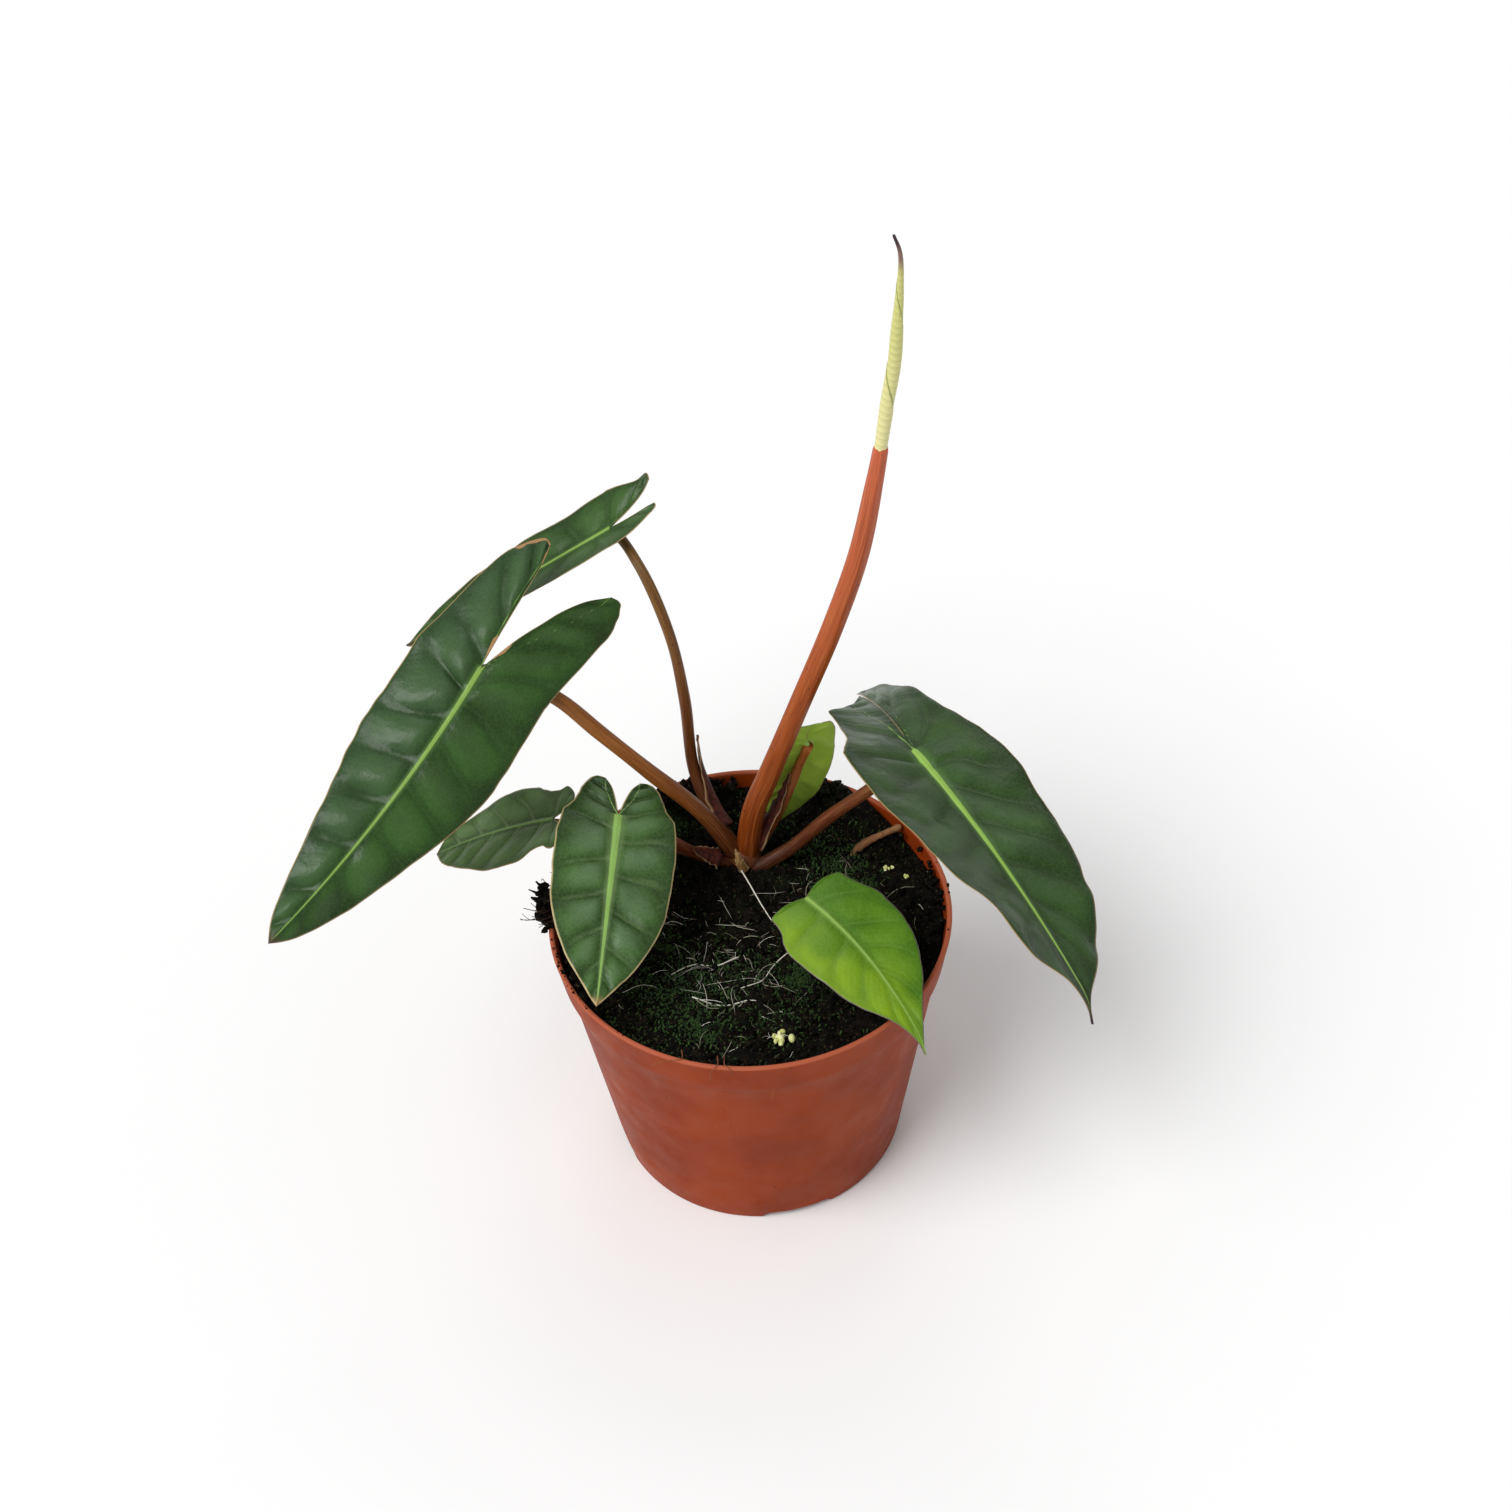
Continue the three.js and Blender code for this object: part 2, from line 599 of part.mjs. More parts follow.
// Adds a piece, cut back with a gap from the pieces already there.
function add(name, material, make) {
  let solid = make(0);
  for (const other of placed) {
    if (touching(solid.boundingBox(), other.grown.boundingBox())) solid = solid.subtract(other.grown);
  }
  solid = largest(solid);
  const mesh = new THREE.Mesh(geometryOf(solid), material());
  mesh.name = name;
  group.add(mesh);
  placed.push({ name, grown: make(GAP) });
}

add("stem", FINISH.sheath, (grow) =>
  tube({
    route: routeFromCrown([[0, 0, STEM_BOTTOM], [0.5, 1, STEM_BOTTOM / 2], [0, 0, STEM_TOP]]),
    radiusAt: (t) => STEM_RADIUS * lerp(0.7, 1, Math.sqrt(t)),
    sides: 10,
    steps: 6,
  }, grow));
for (const [name, leaf] of Object.entries(LEAVES)) {
  const green = name === "front_right" || name === "small_rear" ? FINISH.youngLeaf : FINISH.leaf;
  add(`blade_${name}`, green, (grow) => blade(leaf, grow));
}
add("petiole_newest", FINISH.newPetiole, (grow) => tapered(NEW_PETIOLE, 8, 12, grow));
add("leaf_rolled", FINISH.rolledLeaf, (grow) => tapered(ROLLED_LEAF, 6, 8, grow));
for (const name of Object.keys(PETIOLES)) {
  add(`petiole_${name}`, FINISH.petiole, (grow) => petiole(name, grow));
}
add("sheath_rear", FINISH.sheath, (grow) =>
  sheath({
    route: routeFromCrown([[-6, 8.5, 4.8], [-9.3, 12.8, 8.4], [-14, 19.5, 20], [-15.2, 21, 33]]),
    radiusAt: (t) => lerp(3, 2.4, t) + GAP,
    spreadAt: (t) => lerp(1.2, 0.4, t),
    facing: [1, 0.2, 0.3],
    wall: 0.7,
  }, grow));
add("sheath_front_left", FINISH.sheath, (grow) =>
  sheath({
    route: routeFromCrown([[-11, -2.6, 4.6], [-14, -3.2, 7], [-18, -4, 10.4]]),
    radiusAt: (t) => lerp(3, 2.2, t) + GAP,
    spreadAt: (t) => lerp(1.2, 0.4, t),
    facing: [0.3, -0.6, 1],
    wall: 0.9,
  }, grow));
add("sheath_small_rear", FINISH.drySheath, (grow) =>
  sheath({
    route: routeFromCrown([[4.8, 1.6, 4.6], [6.8, 2.3, 8], [13.1, 5, 19.8], [16.8, 7.2, 28.8]]),
    radiusAt: (t) => lerp(3, 2, t) + GAP,
    spreadAt: (t) => lerp(1.4, 0.5, t),
    facing: [-1, -0.6, 0.6],
    wall: 0.7,
  }, grow));
add("sheath_crown", FINISH.drySheath, (grow) =>
  sheath({
    route: routeFromCrown([[-0.5, -3.4, 3], [-1, -4.6, 6], [-1.5, -5, 11]]),
    radiusAt: (t) => lerp(3.4, 1.6, t),
    spreadAt: (t) => lerp(1.2, 0.5, t),
    facing: [0, -1, 0.2],
    wall: 0.7,
    steps: 5,
  }, grow));
add("petiole_stub", FINISH.drySheath, (grow) => {
  const reach = inside(POT_HEIGHT) - 1;
  const end = [reach * Math.cos(STUB_ANGLE), reach * Math.sin(STUB_ANGLE), SOIL_LEVEL + 6];
  return tube({
    route: [onPeat(31, 25.5, -3), onPeat(35, 27.5, 1), end],
    radiusAt: () => 1,
    sides: 6,
    steps: 4,
  }, grow);
});
add("aerial_root", FINISH.root, (grow) =>
  tube({
    route: [
      fromCrown(-1.5, -5.5, 2).toArray(), onPeat(0, 15, 1.4), onPeat(4, 5, 0.8), onPeat(8.5, -4, -2),
    ],
    radiusAt: (t) => lerp(0.8, 0.5, t),
    sides: 5,
    steps: 7,
  }, grow));
ROOTS.forEach(([angle, curl, depth], i) => {
  add(`root_${i + 1}`, FINISH.root, (grow) =>
    tube({
      route: rootRoute(angle, curl, depth),
      radiusAt: (t) => lerp(1.8, 0.8, t),
      sides: 5,
      steps: 6,
    }, grow));
});
SURFACE_ROOTS.forEach((points, i) => {
  add(`surface_root_${i + 1}`, FINISH.root, (grow) =>
    tube({
      route: points.map(([x, y]) => onPeat(x, y, 0.5)),
      radiusAt: (t) => lerp(0.55, 0.4, t),
      sides: 4,
      steps: 5,
    }, grow));
});
MOSS.forEach(([x, y, radius], i) => {
  add(`moss_${i + 1}`, FINISH.moss, (grow) =>
    lump({ at: onPeat(x, y, 0), size: [radius, radius * 0.8, 1.6], turn: i }, grow));
});
PELLETS.forEach(([x, y, radius], i) => {
  add(`pellet_${i + 1}`, FINISH.pellet, (grow) =>
    lump({ at: onPeat(x, y, radius * 0.5), size: [radius, radius * 0.8, radius * 0.8], turn: i }, grow));
});
add("pot", FINISH.plastic, () => pot());
add("peat_clump_left", FINISH.peat, (grow) => {
  const middle = inside(POT_HEIGHT) + 3;
  return lump({ at: [-middle, 4, POT_HEIGHT + GAP + 2.4], size: [5.5, 8, 2.4], turn: 0.1 }, grow);
});
add("peat", FINISH.peat, () => peat());

export default group;
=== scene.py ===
"""A young potted philodendron: terracotta nursery pot, peat with moss and fine roots, a short stem,
seven leaves on arching petioles and a new leaf still rolled up. Millimetres inside, metres in Blender."""

import bmesh
import bpy
import numpy as np
from bpy.props import FloatProperty, FloatVectorProperty, IntProperty, PointerProperty
from mathutils import Matrix, Vector


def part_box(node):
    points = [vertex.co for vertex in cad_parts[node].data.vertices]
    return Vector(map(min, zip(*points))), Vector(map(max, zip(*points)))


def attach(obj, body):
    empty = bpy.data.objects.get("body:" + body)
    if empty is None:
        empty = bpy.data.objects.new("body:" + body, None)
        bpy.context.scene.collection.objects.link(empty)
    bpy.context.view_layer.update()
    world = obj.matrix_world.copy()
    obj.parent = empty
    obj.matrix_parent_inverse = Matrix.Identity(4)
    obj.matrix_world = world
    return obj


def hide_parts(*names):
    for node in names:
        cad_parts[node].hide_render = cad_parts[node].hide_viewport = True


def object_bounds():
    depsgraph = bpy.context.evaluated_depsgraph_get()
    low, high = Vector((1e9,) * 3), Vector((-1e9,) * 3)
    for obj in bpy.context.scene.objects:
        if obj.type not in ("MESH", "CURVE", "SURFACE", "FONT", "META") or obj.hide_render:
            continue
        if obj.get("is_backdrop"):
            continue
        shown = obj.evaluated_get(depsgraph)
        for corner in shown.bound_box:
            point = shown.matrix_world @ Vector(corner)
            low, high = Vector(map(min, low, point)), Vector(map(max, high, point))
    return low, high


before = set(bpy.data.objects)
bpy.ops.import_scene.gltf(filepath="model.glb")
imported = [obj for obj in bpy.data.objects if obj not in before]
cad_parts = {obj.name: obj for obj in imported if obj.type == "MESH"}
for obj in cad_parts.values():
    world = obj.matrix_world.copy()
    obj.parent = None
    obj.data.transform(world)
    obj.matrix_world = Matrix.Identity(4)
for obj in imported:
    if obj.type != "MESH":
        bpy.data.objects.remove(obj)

bl_info = {
    "name": "Potted Philodendron",
    "version": (1, 0, 0),
    "blender": (4, 5, 0),
    "location": "View3D > Sidebar > Plant",
    "description": "Builds a young philodendron in a nursery pot round its packed frame",
    "category": "Add Mesh",
}

MM = 0.001
POT_LOW, POT_HIGH = (np.array(corner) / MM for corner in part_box("pot"))
POT_RADIUS = float(POT_HIGH[0])
POT_HEIGHT = float(POT_HIGH[2])
POT_BASE_RADIUS = 45.0
COLLAR_STEP = 1.3
COLLAR_BOTTOM = POT_HEIGHT - 12.5
FOOT_HEIGHT = 2.4
FOOT_WIDTH = 3.8
FOOT_GAPS = 4
FOOT_GAP_TURN = np.radians(-77)  # where the first of them stands
PAD_RADIUS = 20.0
DRAIN_HOLES = 8
DRAIN_RADIUS = 3.5
BURIED_ROOTS = 6
SOIL_LEVEL = POT_HEIGHT - 6.5
CROWN = np.array([-1.0, 27.0, SOIL_LEVEL])
TURN = 2 * np.pi


# ---------- numbers ----------
def linear(code, alpha=1.0):
    """An sRGB hex colour as linear red, green, blue and alpha."""
    srgb = np.array([int(code[i:i + 2], 16) for i in (0, 2, 4)]) / 255
    value = np.where(srgb <= 0.04045, srgb / 12.92, ((srgb + 0.055) / 1.055) ** 2.4)
    return (*map(float, value), alpha)


def unit(vectors):
    """Vectors divided by their lengths, along the last axis."""
    return vectors / np.maximum(np.linalg.norm(vectors, axis=-1, keepdims=True), 1e-12)


def step(low, high, x):
    """0 below low and 1 above high, with the cubic 3x^2 - 2x^3 between them."""
    x = np.clip((x - low) / (high - low), 0, 1)
    return x * x * (3 - 2 * x)


def spline(values, t):
    """A curve through evenly spaced values at t from 0 to 1: the cubic whose slope at each value is
    half the difference of its neighbours. The values may be numbers or points."""
    values = np.asarray(values, float)
    t = np.asarray(t, float)
    last = len(values) - 1
    place = np.clip(t, 0, 1) * last
    i = np.minimum(place.astype(int), last - 1)
    w = (place - i).reshape(t.shape + (1,) * (values.ndim - 1))
    a, b, c, d = (values[np.clip(i + k, 0, last)] for k in (-1, 0, 1, 2))
    slope_in, slope_out = (c - a) / 2, (d - b) / 2
    return (((2 * b - 2 * c + slope_in + slope_out) * w
             + (-3 * b + 3 * c - 2 * slope_in - slope_out)) * w + slope_in) * w + b


def path_through(points, count):
    """Evenly spaced places on a smooth line through points: a finely sampled spline, measured along
    its length and read back at equal distances."""
    points = np.asarray(points, float)
    chord = np.r_[0, np.cumsum(np.sqrt(np.linalg.norm(np.diff(points, axis=0), axis=1)))]
    knots = chord / chord[-1]
    fine = np.linspace(0, 1, 40 * len(points))
    slope = np.gradient(points, knots, axis=0)
    i = np.clip(np.searchsorted(knots, fine, side="right") - 1, 0, len(knots) - 2)
    width = knots[i + 1] - knots[i]
    w = ((fine - knots[i]) / width)[:, None]
    width = width[:, None]
    line = ((2 * w**3 - 3 * w**2 + 1) * points[i] + (w**3 - 2 * w**2 + w) * width * slope[i]
            + (3 * w**2 - 2 * w**3) * points[i + 1] + (w**3 - w**2) * width * slope[i + 1])
    far = np.r_[0, np.cumsum(np.linalg.norm(np.diff(line, axis=0), axis=1))]
    at = np.linspace(0, far[-1], count)
    return np.stack([np.interp(at, far, line[:, k]) for k in range(3)], -1)


def grain(x, y, size, seed):
    """Soft noise from -1 to 1: random values on a square lattice of that size, blended across each
    cell with the cubic 3x^2 - 2x^3."""
    lattice = np.random.default_rng(seed).uniform(-1, 1, (64, 64))
    u, v = x / size, y / size
    i, j = np.floor(u).astype(int), np.floor(v).astype(int)
    a, b = step(0, 1, u - i), step(0, 1, v - j)
    corner = lambda di, dj: lattice[(i + di) % 64, (j + dj) % 64]
    return ((corner(0, 0) * (1 - a) + corner(1, 0) * a) * (1 - b)
            + (corner(0, 1) * (1 - a) + corner(1, 1) * a) * b)


def from_crown(points):
    """Places counted from the stem at the level of the peat."""
    return CROWN + np.asarray(points, float)


def pot_outside(z):
    """The pot's outer radius: a straight taper, with the band below the rim standing out."""
    z = np.asarray(z, float)
    wall = POT_BASE_RADIUS + (POT_RADIUS - COLLAR_STEP - POT_BASE_RADIUS) * z / POT_HEIGHT
    return wall + COLLAR_STEP * (z > COLLAR_BOTTOM)


HEAPS = (((0, 0), 15, 1), ((34, 19), 13, 6), ((-27, 27), 12, 5))  # place from the crown, radius, rise
BANK = 2.0  # the rise of the peat at the wall


def peat_height(x, y):
    """The level of the peat: two crossed waves, a bank that rises with the eighth power of the
    distance from the middle, and a bell-shaped heap at each place of HEAPS."""
    wave = np.sin(x / 9 + 1) * np.cos(y / 11) + 0.6 * np.sin(x / 4.1 + 2) * np.sin(y / 5.3)
    height = SOIL_LEVEL + 0.8 * wave
    height = height + BANK * np.clip(np.hypot(x, y) / POT_RADIUS, 0, 1) ** 8
    for (dx, dy), radius, rise in HEAPS:
        height = height + rise * np.exp(-((x - CROWN[0] - dx) ** 2 + (y - CROWN[1] - dy) ** 2) / radius**2)
    return height


def on_peat(points, lift=0.0):
    """Points on the peat, each x and y given, at that height above it."""
    points = np.asarray(points, float)
    return np.column_stack([points[:, :2], peat_height(points[:, 0], points[:, 1]) + lift])


# ---------- meshes ----------
def grid_faces(rows, columns, closed=False, first=0):
    """The four corners of each cell of a grid of points, stored row by row; closed joins the last
    column to the first."""
    i = np.arange(rows - 1)[:, None] * columns
    j = np.arange(columns if closed else columns - 1)[None]
    k = (j + 1) % columns
    return np.stack([i + j, i + k, i + columns + k, i + columns + j], -1).reshape(-1, 4) + first


def make_piece(name, points, faces, slot, material, nodes=(), marks=None, sharp=None, weld=True):
    """One piece from its points in millimetres and its faces. marks are numbers kept at each point
    for the material, weld joins points that meet, and the piece stands for the CAD nodes named."""
    mesh = bpy.data.meshes.new(name)
    mesh.from_pydata((points * MM).tolist(), [], [f for group in faces for f in group.tolist()])
    for key, values in (marks or {}).items():
        kept = mesh.attributes.new(key, "FLOAT", "POINT")
        kept.data.foreach_set("value", np.asarray(values, np.float32).ravel())
    if weld:
        shape = bmesh.new()
        shape.from_mesh(mesh)
        bmesh.ops.remove_doubles(shape, verts=shape.verts, dist=1e-7)
        bmesh.ops.dissolve_degenerate(shape, edges=shape.edges, dist=1e-8)
        shape.to_mesh(mesh)
        shape.free()
    mesh.shade_smooth()
    if sharp is not None:
        mesh.set_sharp_from_angle(angle=np.radians(sharp))
    mesh.materials.append(material)
    piece = bpy.data.objects.new(name, mesh)
    bpy.context.scene.collection.objects.link(piece)
    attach(piece, "root")
    if nodes:
        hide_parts(*nodes)
    return piece


def ring_frame(path, towards):
    """Directions across a path at each place: the first lies square to the path and to towards, and
    the second is square to both, so that they turn anticlockwise seen against the path."""
    along = unit(np.gradient(path, axis=0))
    first = unit(np.cross(along, np.broadcast_to(towards, along.shape)))
    return first, np.cross(along, first)


def tube(path, radius, sides, towards=(0.0, 1.0, 0.0), shape=None):
    """Rings round a path. Each point is the path plus radius times the cosine and sine of its angle;
    shape(t, angle) multiplies the radius. Both ends close to a point over a rounded cap."""
    path = np.asarray(path, float)
    count = len(path)
    radius = np.broadcast_to(radius, (count,)).astype(float)
    far = np.r_[0, np.cumsum(np.linalg.norm(np.diff(path, axis=0), axis=1))]
    cap = np.array([0, 0.04, 0.15, 0.35, 0.65])
    at = np.r_[cap * radius[0], far[(far > radius[0]) & (far < far[-1] - radius[-1])],
               far[-1] - cap[::-1] * radius[-1]]
    path = np.stack([np.interp(at, far, path[:, k]) for k in range(3)], -1)
    size = np.interp(at, far, radius)
    for end in (at / max(radius[0], 1e-6), (far[-1] - at) / max(radius[-1], 1e-6)):
        size = size * np.sqrt(np.clip(1 - (1 - np.clip(end, 0, 1)) ** 2, 0, 1))
    t = (at / far[-1])[:, None]
    angle = np.arange(sides)[None] / sides * TURN
    first, second = ring_frame(path, towards)
    reach = size[:, None] * (np.ones_like(angle) if shape is None else shape(t, angle))
    rings = (path[:, None] + (reach * np.cos(angle))[..., None] * first[:, None]
             + (reach * np.sin(angle))[..., None] * second[:, None])
    marks = {"along": np.broadcast_to(t, reach.shape), "turn": np.broadcast_to(angle / TURN, reach.shape)}
    return rings.reshape(-1, 3), [grid_faces(len(at), sides, closed=True)], marks


def together(parts):
    """Several sets of points, faces and marks as one."""
    points, faces, marks, first = [], [], {}, 0
    for part_points, part_faces, part_marks in parts:
        points.append(part_points)
        faces += [group + first for group in part_faces]
        for key, values in part_marks.items():
            marks.setdefault(key, []).append(np.asarray(values, float).ravel())
        first += len(part_points)
    return np.concatenate(points), faces, {key: np.concatenate(values) for key, values in marks.items()}


def strands(starts, headings, lengths, radius, rng, sag=0.14, lift=0.3, sides=3, stations=6):
    """Short loose roots lying on the peat, all at once: each runs from its start along a heading that
    wanders by a random bend, and keeps just above the peat, with its middle arched up."""
    count = len(starts)
    t = np.linspace(0, 1, stations)
    bend = rng.normal(0, 0.45, (count, 1)) * t + rng.normal(0, 0.25, (count, 1)) * np.sin(TURN * t)
    heading = headings[:, None] + bend
    x = starts[:, :1] + np.cumsum(np.cos(heading), 1) * lengths[:, None] / stations
    y = starts[:, 1:2] + np.cumsum(np.sin(heading), 1) * lengths[:, None] / stations
    z = peat_height(x, y) + lift + sag * lengths[:, None] * rng.uniform(0, 1, (count, 1)) * np.sin(np.pi * t)
    path = np.stack([x, y, z], -1)
    along = unit(np.gradient(path, axis=1))
    first = unit(np.cross(along, (0.0, 0.0, 1.0)))
    second = np.cross(along, first)
    angle = np.arange(sides) / sides * TURN
    size = (radius[:, None] * np.sqrt(np.clip(1 - (2 * t - 1) ** 6, 0, 1)))[:, :, None, None]
    rings = (path[:, :, None] + size * (np.cos(angle)[:, None] * first[:, :, None]
                                        + np.sin(angle)[:, None] * second[:, :, None]))
    faces = grid_faces(stations, sides, closed=True)
    faces = (faces[None] + (np.arange(count) * stations * sides)[:, None, None]).reshape(-1, 4)
    shade = np.repeat(rng.uniform(0, 1, count), stations * sides)
    return rings.reshape(-1, 3), [faces], {"shade": shade}


# a twenty-sided ball: three golden rectangles, each square to the others
ICO = (1 + 5**0.5) / 2
ICO_POINTS = unit(np.array(
    [(-1, ICO, 0), (1, ICO, 0), (-1, -ICO, 0), (1, -ICO, 0), (0, -1, ICO), (0, 1, ICO),
     (0, -1, -ICO), (0, 1, -ICO), (ICO, 0, -1), (ICO, 0, 1), (-ICO, 0, -1), (-ICO, 0, 1)], float))
ICO_FACES = np.array(
    [(0, 11, 5), (0, 5, 1), (0, 1, 7), (0, 7, 10), (0, 10, 11), (1, 5, 9), (5, 11, 4), (11, 10, 2),
     (10, 7, 6), (7, 1, 8), (3, 9, 4), (3, 4, 2), (3, 2, 6), (3, 6, 8), (3, 8, 9), (4, 9, 5),
     (2, 4, 11), (6, 2, 10), (8, 6, 7), (9, 8, 1)])


def lumps(centres, sizes, rng, uneven=0.3):
    """Crumbs, all at once: each is a twenty-sided ball whose corners are moved in and out at random
    and stretched by three random numbers."""
    count = len(centres)
    corners = len(ICO_POINTS)
    shape = ICO_POINTS[None] * (1 + rng.uniform(-uneven, uneven, (count, corners, 1)))
    shape = shape * rng.uniform(0.6, 1.3, (count, 1, 3)) * np.asarray(sizes)[:, None, None]
    points = (np.asarray(centres)[:, None] + shape).reshape(-1, 3)
    faces = (ICO_FACES[None] + (np.arange(count) * corners)[:, None, None]).reshape(-1, 3)
    return points, [faces], {"shade": np.repeat(rng.uniform(0, 1, count), corners)}


# ---------- materials ----------
def add(tree, kind, inputs=None, stops=None, out=None, **settings):
    """Adds one node and gives its output socket: the first one in use, or the one named by out.
    settings are its own values. inputs are its sockets' values, hex colours, or the sockets they are
    linked from. stops are the places and colours of a ramp."""
    made = tree.nodes.new("ShaderNode" + kind)
    for key, value in settings.items():
        setattr(made, key, value)
    for key, value in (inputs or {}).items():
        if isinstance(value, bpy.types.NodeSocket):
            tree.links.new(value, made.inputs[key])
        else:
            made.inputs[key].default_value = linear(value) if isinstance(value, str) else value
    for i, (place, colour) in enumerate(stops or ()):
        element = made.color_ramp.elements[i] if i < 2 else made.color_ramp.elements.new(place)
        element.position, element.color = place, linear(colour)
    return made.outputs[out] if out else next((socket for socket in made.outputs if socket.enabled), None)


def start_material(name, **surface):
    """A material with its output and one principled shader, whose constant values are set here."""
    material = bpy.data.materials.new(name)
    material.use_nodes = True
    tree = material.node_tree
    tree.nodes.clear()
    shader = tree.nodes.new("ShaderNodeBsdfPrincipled")
    for key, value in surface.items():
        shader.inputs[key.replace("_", " ")].default_value = value
    add(tree, "OutputMaterial", {"Surface": shader.outputs[0]})
    return material, tree, shader


def speckle(tree, size, detail=2.0, roughness=0.5, stretch=(1, 1, 1)):
    """Cloudy noise in object space whose blotches are about that many millimetres across."""
    place = add(tree, "Mapping", {0: add(tree, "TexCoord", out="Object"), 3: stretch})
    return add(tree, "TexNoise",
               {0: place, "Scale": 1 / (size * MM), "Detail": detail, "Roughness": roughness})


def layer(tree, colour, over, value, low, high, strength=1.0):
    """A colour with another laid over it: the share of the second rises smoothly from 0 where the
    value is low to its full strength where the value is high."""
    share = add(tree, "MapRange", {0: value, 1: low, 2: high, 3: 0.0, 4: strength},
                interpolation_type="SMOOTHSTEP")
    return add(tree, "Mix", {0: share, 6: colour, 7: over}, data_type="RGBA")


def finish_skin(tree, shader, colour, *relief, gloss=None):
    """Links a colour to the shader, then relief as pairs of a height and its depth in millimetres,
    and a roughness that wanders between the two values of gloss in blotches of 7 mm."""
    tree.links.new(colour, shader.inputs["Base Color"])
    normal = None
    for height, depth in relief:
        below = {} if normal is None else {"Normal": normal}
        normal = add(tree, "Bump", {"Height": height, "Distance": depth * MM, "Strength": 1.0, **below})
        tree.links.new(normal, shader.inputs["Normal"])
    if gloss:
        rough = add(tree, "MapRange", {0: speckle(tree, 7, 3), 1: 0.3, 2: 0.7, 3: gloss[0], 4: gloss[1]})
        tree.links.new(rough, shader.inputs["Roughness"])


def terracotta_plastic():
    """Injection-moulded polypropylene coloured as clay: an even satin skin with faint flow clouds,
    fine scuffs that catch the light, specks of dried peat and a painted highlight along the lip."""
    material, tree, shader = start_material("moulded_polypropylene_terracotta", Roughness=0.5, IOR=1.49,
                                            Specular_IOR_Level=0.1)
    look = bpy.context.scene.plant_pot
    colour = layer(tree, (*look.plastic, 1), "83300f", speckle(tree, 26, 3), 0.35, 0.7)
    colour = layer(tree, colour, "4a2010", speckle(tree, 1.3, 1), 0.72, 0.78, 0.55)
    colour = layer(tree, colour, "a8552f", speckle(tree, 6, 2, 0.6, (1, 1, 0.12)), 0.68, 0.76, 0.35)
    # painted highlight: the lip is painted paler than the wall, where light catches its rounded top
    height = add(tree, "SeparateXYZ", {0: add(tree, "TexCoord", out="Object")}, out="Z")
    colour = layer(tree, colour, "b8654a", height, (POT_HEIGHT - 1.1) * MM, (POT_HEIGHT - 0.3) * MM, 0.7)
    finish_skin(tree, shader, colour, (speckle(tree, 0.9, 3), 0.05), gloss=(0.42, 0.58))
    return material


def milled_peat(name, dark, light):
    """Milled peat: crumbs and short fibres, almost black when damp, with brown specks, a breath of
    green on top and hardly any shine."""
    material, tree, shader = start_material(name, Roughness=0.8, IOR=1.4, Specular_IOR_Level=0.12)
    colour = layer(tree, dark, light, speckle(tree, 2.2, 4, 0.6), 0.42, 0.66)
    colour = layer(tree, colour, "101a0a", speckle(tree, 11, 2), 0.55, 0.7, 0.5)
    colour = layer(tree, colour, "6a563c", speckle(tree, 0.6, 1), 0.66, 0.74, 0.6)
    finish_skin(tree, shader, colour, (speckle(tree, 0.8, 4, 0.65), 0.5))
    return material


def shaded(name, dark, light, roughness=0.6, size=1.2, depth=0.06):
    """A dry natural surface whose pieces differ in colour by their own shade, with fine mottling."""
    material, tree, shader = start_material(name, Roughness=roughness, IOR=1.45, Specular_IOR_Level=0.25)
    shade = add(tree, "Attribute", out="Fac", attribute_name="shade")
    colour = add(tree, "Mix", {0: shade, 6: dark, 7: light}, data_type="RGBA")
    colour = layer(tree, colour, dark, speckle(tree, size, 3), 0.45, 0.7, 0.4)
    finish_skin(tree, shader, colour, (speckle(tree, size * 0.4, 2), depth))
    return material


def petiole_skin(name, base, middle, top, shine=0.42):
    """The waxy skin of a petiole: base, middle and top colours blend along it, broken by fine
    lengthwise streaks and a few dark dots, with a soft gloss."""
    material, tree, shader = start_material(name, Roughness=shine, IOR=1.45, Specular_IOR_Level=0.35)
    along = add(tree, "Attribute", out="Fac", attribute_name="along")
    turn = add(tree, "Math", {0: add(tree, "Attribute", out="Fac", attribute_name="turn"), 1: TURN},
               operation="MULTIPLY")
    colour = add(tree, "ValToRGB", {0: along}, stops=[(0.0, base), (1.0, top), (0.45, middle)])
    round_it = {i + 1: add(tree, "Math", {0: turn}, operation=wave)
                for i, wave in enumerate(("SINE", "COSINE"))}
    place = add(tree, "CombineXYZ",
                {0: add(tree, "Math", {0: along, 1: 1.6}, operation="MULTIPLY"), **round_it})
    streak = add(tree, "TexNoise", {0: place, "Scale": 6.5, "Detail": 3.0})
    light, dark = (add(tree, "Mix", {0: share, 6: colour, 7: shade}, data_type="RGBA")
                   for share, shade in ((0.4, "c88a4c"), (0.55, "42180a")))
    colour = layer(tree, colour, light, streak, 0.52, 0.66, 0.45)
    colour = layer(tree, colour, dark, streak, 0.5, 0.36, 0.6)
    colour = layer(tree, colour, "3c140c", speckle(tree, 1.5, 1), 0.72, 0.76, 0.7)
    finish_skin(tree, shader, colour, (streak, 0.25))
    return material


